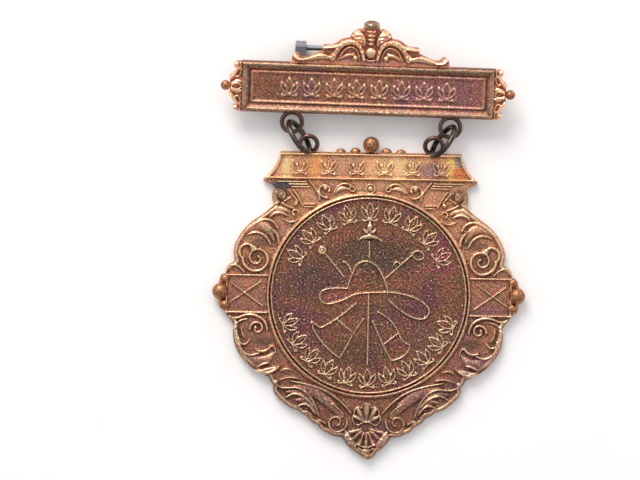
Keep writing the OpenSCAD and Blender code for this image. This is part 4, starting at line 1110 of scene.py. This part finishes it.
def path_mesh(name, loops):
    """A mesh of bare edges along some paths, in metres. A path that comes back to its start is closed."""
    points, edges = [], []
    for path in loops:
        path = [Vector(p) * MM for p in path]
        closed = (path[0] - path[-1]).length < 1e-7
        path = path[:-1] if closed else path
        start = len(points)
        points += path
        edges += [(start + k, start + k + 1) for k in range(len(path) - 1)]
        if closed:
            edges.append((start + len(path) - 1, start))
    data = bpy.data.meshes.new(name)
    data.from_pydata(points, edges, [])
    return data


def bead_mesh(name, rows):
    """A mesh of bare points with a bead radius each, from rows of x, y, z and radius in millimetres."""
    data = bpy.data.meshes.new(name)
    data.from_pydata([Vector(row[:3]) * MM for row in rows], [], [])
    radius = data.attributes.new("bead_radius", "FLOAT", "POINT")
    radius.data.foreach_set("value", [row[3] * MM for row in rows])
    return data


def loop_points(centre, across, up, radius, start=0.0, end=360.0, count=72):
    """Points round a circle, or an arc of one, in space."""
    points = []
    for k in range(count + 1):
        a = math.radians(start + (end - start) * k / count)
        points.append(centre + across * radius * math.cos(a) + up * radius * math.sin(a))
    return points


def bar_eyelet_middle(side):
    """Middle of a bar eyelet, in millimetres."""
    x, y, z = BAR_EYELET
    return bar_place() @ Vector((BAR_SHIFT + side * x, y, z))


def pendant_eyelet_at(side, reach):
    """A point on the line up the middle of a lifted pendant eyelet, from its foot."""
    x, y, z = PENDANT_EYELET_FOOT
    rise, out = math.cos(PENDANT_EYELET_LIFT), math.sin(PENDANT_EYELET_LIFT)
    return Vector((side * x, y + reach * rise, z + reach * out))


def jump_ring_path(side):
    """The round path of a jump ring through both eyelets, leaning to the badge's axis and cut once."""
    a, b = bar_eyelet_middle(side), pendant_eyelet_at(side, RING_REACH)
    along = (b - a).normalized()
    level = along.cross(Vector((0, 0, 1))).normalized()
    upright = level.cross(along)
    up = upright * math.cos(RING_LEAN) - level * side * math.sin(RING_LEAN)
    rise = math.sqrt((RING_DIAMETER / 2) ** 2 - ((b - a).length / 2) ** 2)
    centre = (a + b) / 2 + up * rise
    return loop_points(centre, along, up, RING_DIAMETER / 2, RING_CUT_AT, RING_CUT_AT + 360 - RING_CUT, 96)


def bevelled_slab(bm, outline, start, depth, place, bevel=0.08):
    """Adds a slab of an outline, extruded along the place's third axis and bevelled all round."""
    made = bmesh.new()
    low = [made.verts.new((x, y, start)) for x, y in outline]
    high = [made.verts.new((x, y, start + depth)) for x, y in outline]
    made.faces.new(low)
    made.faces.new(high)
    for k in range(len(outline)):
        n = (k + 1) % len(outline)
        made.faces.new((low[k], low[n], high[n], high[k]))
    bmesh.ops.recalc_face_normals(made, faces=made.faces)
    rims = [e for e in made.edges if e.calc_face_angle(0) > 0.6]
    bmesh.ops.bevel(made, geom=rims, offset=bevel, segments=2, affect="EDGES", profile=0.6)
    bmesh.ops.transform(made, matrix=place, verts=made.verts)
    data = bpy.data.meshes.new("slab")
    made.to_mesh(data)
    made.free()
    bm.from_mesh(data)
    bpy.data.meshes.remove(data)


def slab_mesh(name, slabs):
    """One mesh of several bevelled slabs, from rows of outline, start, depth and place, in millimetres."""
    bm = bmesh.new()
    for outline, start, depth, place in slabs:
        bevelled_slab(bm, outline, start, depth, place)
    bmesh.ops.scale(bm, vec=(MM, MM, MM), verts=bm.verts)
    data = bpy.data.meshes.new(name)
    bm.to_mesh(data)
    bm.free()
    return data


def ear_outline(width, depth, foot, steps=8):
    """Outline of an ear of the pin's joint: a rectangle with two rounded feet."""
    points = [(-width / 2, 0)]
    for side in (-1, 1):
        for k in range(steps + 1):
            a = math.pi + math.pi * k / steps
            middle = side * (width / 2 - foot)
            points.append((middle + foot * math.cos(a), -depth + foot + foot * math.sin(a)))
    points.append((width / 2, 0))
    return points


class BADGE_OT_materials(bpy.types.Operator):
    """Makes the badge's metals and the board's paint"""

    bl_idname = "badge.materials"
    bl_label = "Materials"

    def execute(self, context):
        colours = context.scene.badge_colours
        # Painted shade in the hollow places of both halves
        shaded_hollows = tuple(((x * side, y), *rest) for (x, y), *rest in shaded_hollow_spots for side in SIDES)
        pendant = cornice_spots + foot_spots + shaded_hollows
        struck_brass("struck_brass", colours, pendant, shade=0.96, rub_and_highlight=0.65)
        struck_brass("struck_brass_medallion", colours, medallion_spots,
                     shade=0.57, rub_and_highlight=0.7, dirt=0.5, pits=0.07, mottle_and_glints=0.72)
        struck_brass("struck_brass_knobs", colours, knob_spots, shade=0.85)
        struck_brass("cast_brass_bar", colours, bar_tones_and_highlight, shade=1.02, rub_and_highlight=0.5)
        struck_brass("cast_brass_crest", colours, crest_spots, shade=2.0, rub_and_highlight=0.8, worn_and_highlight="#ffdab0")
        dark_wire("tarnished_wire", colours.wire, rough=0.14, spread=0.45)
        dark_wire("copper_brown_wire", "#6a4a3c", rough=0.24, spread=0.5)
        dark_wire("dulled_steel", colours.steel, rough=0.34, spread=0.15)
        pale_board("painted_board", colours.floor)
        return {"FINISHED"}


class BADGE_OT_pendant(bpy.types.Operator):
    """Builds the pendant's plate with its cornice and scrollwork, and the medallion set in it"""

    bl_idname = "badge.pendant"
    bl_label = "Pendant"

    def execute(self, context):
        sizes = context.scene.badge_sizes
        step, high = sizes.relief_step / MM, sizes.line_height / MM
        hole = circle_points(0, 0, SEAM_RADIUS, np.linspace(0, 2 * math.pi, 361)[:-1])
        plate = Relief([bulged(mirrored(pendant_outline)), hole], step)
        self.draw_scrollwork(plate, high)
        self.draw_rim(plate)
        self.draw_shell(plate, high)
        self.draw_cornice(plate, high)
        self.gild_and_shade_plate(plate)
        plate.circle(0, 0, MEDALLION_RADIUS, 0.26, high)
        # The plate's edge isn't rounded where it meets the medallion
        plate.gap = np.where(np.hypot(plate.x, plate.y) < SEAM_RADIUS + 0.5, 1, plate.gap)
        disc = Relief([hole], step)
        self.draw_medallion(disc, high)
        for relief, name, rounding, finish in (
            (plate, "pendant_plate", 0.22, "struck_brass"),
            (disc, "pendant_medallion", 0.02, "struck_brass_medallion"),
        ):
            from_seam = np.abs(np.hypot(relief.x, relief.y) - SEAM_RADIUS)
            lip = SEAM_LIP * np.clip(1 - from_seam / SEAM_LIP_HALF_WIDTH, 0, 1)
            data = relief.mesh(name, relief.height(sizes.plate_thickness / MM) + lip, rounding)
            show(data, "badge", "aged_brass", bpy.data.materials[finish], "pendant")
        return {"FINISHED"}

    def draw_scrollwork(self, plate, high):
        """The leaves, scrolls, rules and beads of both sides."""
        for side in SIDES:
            flip = (side, 1)
            plate.leaves(pendant_leaves, PENDANT_LEAF, flip)
            plate.strokes(pendant_veins, high, flip)
            for row in pendant_scrolls:
                path, width = spiral(row)
                plate.stroke(path * flip, width, high)
                plate.dome(*(path[-1] * flip), row[7] * 0.9, high)
            for x0, y0, x1, y1, width in pendant_rules:
                plate.stroke([(x0 * side, y0), (x1 * side, y1)], width, high, soft=0.04)
            for x, y, r in pendant_beads:
                plate.dome(x * side, y, r * 1.15, high * 1.2)

    def draw_rim(self, plate):
        """The rolled rim round the scrollwork, left out along the cornice and the side blocks."""
        where = ramp(-plate.y, *RIM_UNDER_CORNICE) * ramp(np.abs(plate.y), *RIM_PAST_BLOCKS)
        across = np.clip(1 - np.abs(plate.gap - RIM_IN) / RIM_HALF_WIDTH, 0, 1)
        rim = soft_line(across) * plate.inside
        plate.line = np.maximum(plate.line, rim * where * RIM_HEIGHT)

    def draw_shell(self, plate, high):
        """The three-lobed rosette, and the ribbed shell with its bud at the foot."""
        for side in SIDES:
            for x, y, width in rosette_lobes:
                root, tip = np.array([side * x * LOBE_ROOT_SHARE, LOBE_ROOT_Y]), np.array([side * x, y])
                path = [root + (tip - root) * s for s in LOBE_LENGTHS]
                plate.leaf(path, np.array(LOBE_WIDTHS) * width, LOBE_LEAF)
            plate.strokes(shell_lines, high * 0.9, (side, 1))
            path, width = shell_side_leaf
            plate.leaf(np.array(path) * (side, 1), width, SHELL_SIDE_LEAF)
        middle = (SHELL_RIBS - 1) / 2
        for i in range(SHELL_RIBS):
            a = math.radians(-90 + SHELL_SPREAD * (i / (SHELL_RIBS - 1) - 0.5))
            reach = RIB_REACH + RIB_REACH_MORE * abs(i - middle) / middle
            way = np.array([math.cos(a), math.sin(a)])
            path = [np.array(SHELL_ROOT) + way * s for s in (RIB_START, reach * 0.6, reach * 0.85, reach)]
            plate.leaf(path, RIB_WIDTHS, RIB_LEAF)
        plate.leaf(*foot_bud, FOOT_LEAF)
        x, y, r, tall = SHELL_HOLLOW
        hollow = np.clip(1.5 - np.hypot(plate.x - x, (plate.y - y) / tall) / r, 0, 1)
        plate.body *= 1 - 0.6 * hollow
        plate.dull = np.maximum(plate.dull, hollow * 0.8)

    def draw_cornice(self, plate, high):
        """The cornice's raised rules and row of motifs, and the ringed bead under it."""
        for side in SIDES:
            for (y, half, width), rise in ((UPPER_RULE, high), (LOWER_RULE, high * 1.1)):
                plate.stroke([(0, y), (side * half, y)], width, rise)
            (x0, y0, bulge), (x1, y1), width = CORNICE_END
            end = bulged([[side * x0, y0, bulge * -side], [side * x1, y1, 0]])
            plate.stroke(end, width, high * 0.9)
        plate.motif_row(*CORNICE_MOTIFS, high * 0.8)
        y, ring_radius, ring_width, bead_radius = RINGED_BEAD
        plate.circle(0, y, ring_radius, ring_width, high * 0.8)
        plate.dome(0, y, bead_radius, high)

    def gild_and_shade_plate(self, plate):
        """Marks where the plate is golden, its cornice most, and where it is darker: its foot, as painted
        shade, and its straps.
        """
        cornice, rest = [
            share * ramp(plate.y, start, reach) for start, reach, share in (CORNICE_GILT, PLATE_GILT)
        ]
        plate.gilt = np.maximum(cornice, rest)
        # The foot is darkened as painted shade
        low = ramp(-plate.y, *FOOT_SHADE)
        straps = np.clip(1.3 - np.hypot(np.abs(plate.x) - 12.1, plate.y - 13.5), 0, 0.55)
        plate.dull = np.maximum(plate.dull, np.maximum(low, straps))

    def draw_medallion(self, disc, high):
        """The inner ring line, the emblem with its flame, and the two arcs of motifs."""
        disc.circle(0, 0, *INNER_RING, high * 0.85)
        disc.strokes(emblem_curves, high * 0.9, share=0.75)
        for x0, y0, x1, y1, width in emblem_rules:
            disc.stroke([(x0, y0), (x1, y1)], width * 0.7, high * 0.8)
        x, y, r = mouthpiece
        disc.circle(x, y, r, 0.36, high)
        disc.dome(x, y, 0.4, high)
        for row in emblem_leaves:
            disc.leaf(*cubic(row), row[11])
        disc.leaf(*flame, high)
        path, width = flame_side
        for side in SIDES:
            disc.leaf(np.array(path) * (side, 1), width, high)
        for arc in (UPPER_MOTIFS, LOWER_MOTIFS):
            disc.motif_arc(*arc, high * 0.7)


class BADGE_OT_bar(bpy.types.Operator):
    """Builds the bar, its crest and its two end finials"""

    bl_idname = "badge.bar"
    bl_label = "Top bar"

    def execute(self, context):
        sizes = context.scene.badge_sizes
        step, high = sizes.relief_step / MM, sizes.line_height / MM
        x, y = BAR_HALF_LENGTH, BAR_HALF_HEIGHT
        bar = Relief([rectangle(-x, x, -y, y)], step)
        bar.motif_row(*BAR_MOTIFS, high * 0.8)
        moulding = np.interp(np.where(bar.inside, bar.gap, 0), *zip(*moulding_steps))
        # The top and lower bands are darkened as painted shade
        shaded_bands = ramp(bar.y, *BAR_TOP_SHADE) + ramp(-bar.y, *BAR_LOW_SHADE)
        bar.dull = np.maximum(shaded_bands, ramp(np.abs(bar.x), *BAR_END_DULL))
        z = blurred(bar.height(moulding), 1, 1)
        hollow = (x - HOLLOW_IN, y - HOLLOW_IN, HOLLOW_DEPTH)
        data = bar.mesh("bar_plate", z, rounding=0.12, place=bar_place(), hollow=hollow)
        show(data, "badge", "aged_brass", bpy.data.materials["cast_brass_bar"], "top_bar")
        self.build_crest(step * 0.75, high)
        for name, turn in (("finial_right", 0), ("finial_left", math.pi)):
            self.build_finial(name, turn, step * 0.75, high)
        return {"FINISHED"}

    def build_crest(self, step, high):
        """The crest: ribbed arches, leaves with curled tips, and a column of beads under a knob."""
        crest = Relief([bulged(mirrored(crest_outline))], step)
        for side in SIDES:
            crest.leaves(crest_leaves, CREST_LEAF, (side, 1))
            crest.strokes(crest_lines, high * 0.9, (side, 1))
            for x, y, r, height, tall in crest_domes:
                crest.dome(x * side, y, r, height, tall)
            for row in crest_leaves[:2]:
                for x, y in cubic(row)[0][::3]:
                    crest.dome(x * side, y, *ARCH_DOME)
        knob = np.clip(1.6 - np.hypot(crest.x, (crest.y - 5.6) / 0.5), 0, 0.75)
        column = np.clip(0.9 - np.hypot(crest.x / 0.6, (crest.y - 3.9) / 1.6), 0, 0.25)
        crest.dull = np.maximum(knob, column)
        place = bar_place() @ Matrix.Translation((CREST_SHIFT, BAR_HALF_HEIGHT, CREST_RISE))
        data = crest.mesh("crest", crest.height(CREST_THICKNESS), rounding=0.3, place=place)
        show(data, "badge", "aged_brass", bpy.data.materials["cast_brass_crest"], "top_bar")

    def build_finial(self, name, turn, step, high):
        """An end finial of curled leaves, turned about the bar's middle."""
        finial = Relief([bulged(mirrored(finial_outline, axis=1))], step)
        x, y, r, height = FINIAL_DOME
        for up in SIDES:
            finial.leaves(finial_leaves, FINIAL_LEAF, (1, up))
            finial.strokes(finial_lines, high * 0.8, (1, up))
            finial.dome(x, y * up, r, height)
        past_end = Matrix.Translation((BAR_HALF_LENGTH, 0, FINIAL_RISE))
        place = bar_place() @ Matrix.Rotation(turn, 4, "Z") @ past_end
        data = finial.mesh(name, finial.height(FINIAL_THICKNESS), rounding=0.25, place=place)
        show(data, "badge", "aged_brass", bpy.data.materials["cast_brass_crest"], "top_bar")


class BADGE_OT_beads(bpy.types.Operator):
    """Grows the knobs and beads that stand on the edges of the pendant and the bar"""

    bl_idname = "badge.beads"
    bl_label = "Knobs and beads"

    def execute(self, context):
        brass, tree = bpy.data.materials["struck_brass_knobs"], bead_tree()
        domes = [[x * side, y, CORNICE_BEAD_Z, r] for side in SIDES for x, y, r in cornice_beads]
        knobs = [crown_bead] + [[x * side, y, r + 0.05, r] for side in SIDES for x, y, r in side_knobs]
        reach = BAR_HALF_LENGTH + BALL_PAST_END
        balls = [[*(bar_place() @ Vector((side * reach, 0, BALL_RISE))), BALL_RADIUS] for side in SIDES]
        for name, rows, flattening, node in (
            ("cornice_domes", domes, 0.6, "pendant"),
            ("pendant_knobs", knobs, 0.95, "pendant"),
            ("finial_balls", balls, 1.0, "top_bar"),
        ):
            values = {"Flattening": flattening, "Material": brass}
            data = grown(name, bead_mesh(name + "_points", rows), tree, values)
            show(data, "badge", "aged_brass", brass, node)
        return {"FINISHED"}


class BADGE_OT_wires(bpy.types.Operator):
    """Bends the eyelets and the two jump rings from wire"""

    bl_idname = "badge.wires"
    bl_label = "Rings and eyelets"

    def execute(self, context):
        sizes = context.scene.badge_sizes
        tree = wire_tree()
        brown, dark = bpy.data.materials["copper_brown_wire"], bpy.data.materials["tarnished_wire"]
        turn = bar_place().to_3x3()
        across, up = turn @ Vector((1, 0, 0)), turn @ Vector((0, 1, 0))
        level = Vector((1, 0, 0))
        lift = Vector((0, math.cos(PENDANT_EYELET_LIFT), math.sin(PENDANT_EYELET_LIFT)))
        on_bar, on_pendant = [], []
        for side in (-1, 1):
            on_bar.append(loop_points(bar_eyelet_middle(side), across, up, BAR_EYELET_RADIUS))
            middle = pendant_eyelet_at(side, PENDANT_EYELET_RADIUS)
            on_pendant.append(loop_points(middle, level, lift, PENDANT_EYELET_RADIUS))
        eyelet, ring = (sizes.eyelet_wire, "aged_brass", brown), (sizes.ring_wire, "dark_wire", dark)
        for name, loops, (width, slot, wire), node in (
            ("bar_eyelets", on_bar, eyelet, "top_bar"),
            ("pendant_eyelets", on_pendant, eyelet, "pendant"),
            ("wire_jump_ring_left", [jump_ring_path(-1)], ring, "jump_ring_left"),
            ("wire_jump_ring_right", [jump_ring_path(1)], ring, "jump_ring_right"),
        ):
            values = {"Wire radius": width / 2, "Material": wire}
            data = grown(name, path_mesh(name + "_path", loops), tree, values)
            show(data, "badge", slot, wire, node)
        return {"FINISHED"}


class BADGE_OT_pin(bpy.types.Operator):
    """Builds the pin's bracket and catch, and gives the stem and its rivet their metal"""

    bl_idname = "badge.pin"
    bl_label = "Pin"

    def execute(self, context):
        steel = bpy.data.materials["dulled_steel"]
        place = bar_place()
        stand = Matrix.Rotation(math.pi / 2, 4, "X")
        ear = ear_outline(JOINT_WIDTH, JOINT_DEPTH, FOOT_RADIUS)
        slabs = []
        for top in (FOOT_RISE + EAR_THICKNESS, UPPER_EAR_TOP):
            slabs.append((ear, 0, EAR_THICKNESS, place @ Matrix.Translation((-HINGE_X, top, 0)) @ stand))
        low = BAR_HALF_HEIGHT - 1
        joint_sides = (-HINGE_X - JOINT_WIDTH / 2, -HINGE_X + JOINT_WIDTH / 2)
        for sides, bottom, top, start, depth in (
            (joint_sides, low, UPPER_EAR_TOP, BASE_START, BASE_THICKNESS),
            (CATCH_SIDES, low, CATCH_WALL[1], BASE_START, BASE_THICKNESS),
            (CATCH_SIDES, *CATCH_WALL, -CATCH_DEPTH, CATCH_DEPTH),
            (CATCH_SIDES, CATCH_LIP_LOW, CATCH_WALL[0], -CATCH_DEPTH, LIP_THICKNESS),
        ):
            slabs.append((rectangle(*sides, bottom, top), start, depth, place))
        data = slab_mesh("pin_bracket_and_catch", slabs)
        show(data, "badge", "pin_steel", steel, "top_bar")
        for name in ("pin_stem", "hinge_rivet"):
            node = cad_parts[name]
            node.data.materials.clear()
            node.data.materials.append(steel)
        return {"FINISHED"}


class BADGE_OT_stage(bpy.types.Operator):
    """Sets the pale board, the soft lights and the camera over the badge"""

    bl_idname = "badge.stage"
    bl_label = "Stage"

    def execute(self, context):
        scene = context.scene
        board = bpy.data.meshes.new("board")
        half, low = 0.6, -0.00003
        corners = [(x, y, low) for x, y in rectangle(-half, half, -half, half)]
        board.from_pydata(corners, [], [(0, 1, 2, 3)])
        board.materials.append(bpy.data.materials["painted_board"])
        floor = bpy.data.objects.new("board", board)
        scene.collection.objects.link(floor)
        self.add_sky(scene)
        scene.view_settings.view_transform = "Standard"
        self.add_light(scene, "window", (-0.12, 0.36, 0.28), size=0.22, power=1.3, colour=(1.0, 0.98, 0.95))
        lens = bpy.data.cameras.new("camera")
        lens.sensor_width = SENSOR_WIDTH
        lens.lens = SENSOR_WIDTH * CAMERA_HEIGHT / FRAME_WIDTH
        lens.clip_start, lens.clip_end = 0.01, 10
        camera = bpy.data.objects.new("camera", lens)
        camera.location = (CAMERA_X * MM, CAMERA_Y * MM, CAMERA_HEIGHT * MM)
        camera.rotation_euler = (0, 0, CAMERA_TURN)
        scene.collection.objects.link(camera)
        scene.camera = camera
        return {"FINISHED"}

    def add_sky(self, scene):
        """Soft light from all round, brighter from the top of the badge than from its foot."""
        world = bpy.data.worlds.new("studio")
        world.use_nodes = True
        tree = world.node_tree
        tree.nodes.clear()
        way = add_node(tree, "ShaderNodeTexCoord").outputs["Generated"]
        parts = add_node(tree, "ShaderNodeSeparateXYZ", {0: way})
        strength = add_node(tree, "ShaderNodeMapRange",
                            {0: parts.outputs[1], 1: -0.7, 2: 0.7, 3: SKY_AT_FOOT, 4: SKY_AT_TOP})
        sky = add_node(tree, "ShaderNodeBackground",
                       {"Color": (0.96, 0.97, 1.0, 1.0), "Strength": strength.outputs[0]})
        add_node(tree, "ShaderNodeOutputWorld", {"Surface": sky.outputs[0]})
        scene.world = world

    def add_light(self, scene, name, place, size, power, colour):
        """A square soft light, aimed at the badge."""
        light = bpy.data.lights.new(name, "AREA")
        light.size, light.energy, light.color = size, power, colour
        lamp = bpy.data.objects.new(name, light)
        lamp.location = place
        lamp.rotation_euler = (-Vector(place)).to_track_quat("-Z", "Y").to_euler()
        scene.collection.objects.link(lamp)


class BADGE_PT_panel(bpy.types.Panel):
    """Lists the badge's sizes, colours and pieces"""

    bl_idname = "BADGE_PT_panel"
    bl_label = "Firefighter badge"
    bl_space_type = "VIEW_3D"
    bl_region_type = "UI"
    bl_category = "Badge"

    def draw(self, context):
        for group in (context.scene.badge_sizes, context.scene.badge_colours):
            for name in group.__annotations__:
                self.layout.prop(group, name)
        for step in PIECES:
            self.layout.operator(step.bl_idname)


PIECES = (
    BADGE_OT_materials, BADGE_OT_pendant, BADGE_OT_bar, BADGE_OT_beads, BADGE_OT_wires, BADGE_OT_pin,
    BADGE_OT_stage
)
CLASSES = (BadgeSizes, BadgeColours) + PIECES + (BADGE_PT_panel,)


def register():
    for kind in CLASSES:
        bpy.utils.register_class(kind)
    bpy.types.Scene.badge_sizes = bpy.props.PointerProperty(type=BadgeSizes)
    bpy.types.Scene.badge_colours = bpy.props.PointerProperty(type=BadgeColours)


def unregister():
    del bpy.types.Scene.badge_sizes
    del bpy.types.Scene.badge_colours
    for kind in reversed(CLASSES):
        bpy.utils.unregister_class(kind)


def main():
    register()
    bpy.ops.badge.materials()
    bpy.ops.badge.pendant()
    bpy.ops.badge.bar()
    bpy.ops.badge.beads()
    bpy.ops.badge.wires()
    bpy.ops.badge.pin()
    bpy.ops.badge.stage()


if __name__ == "__main__":
    main()
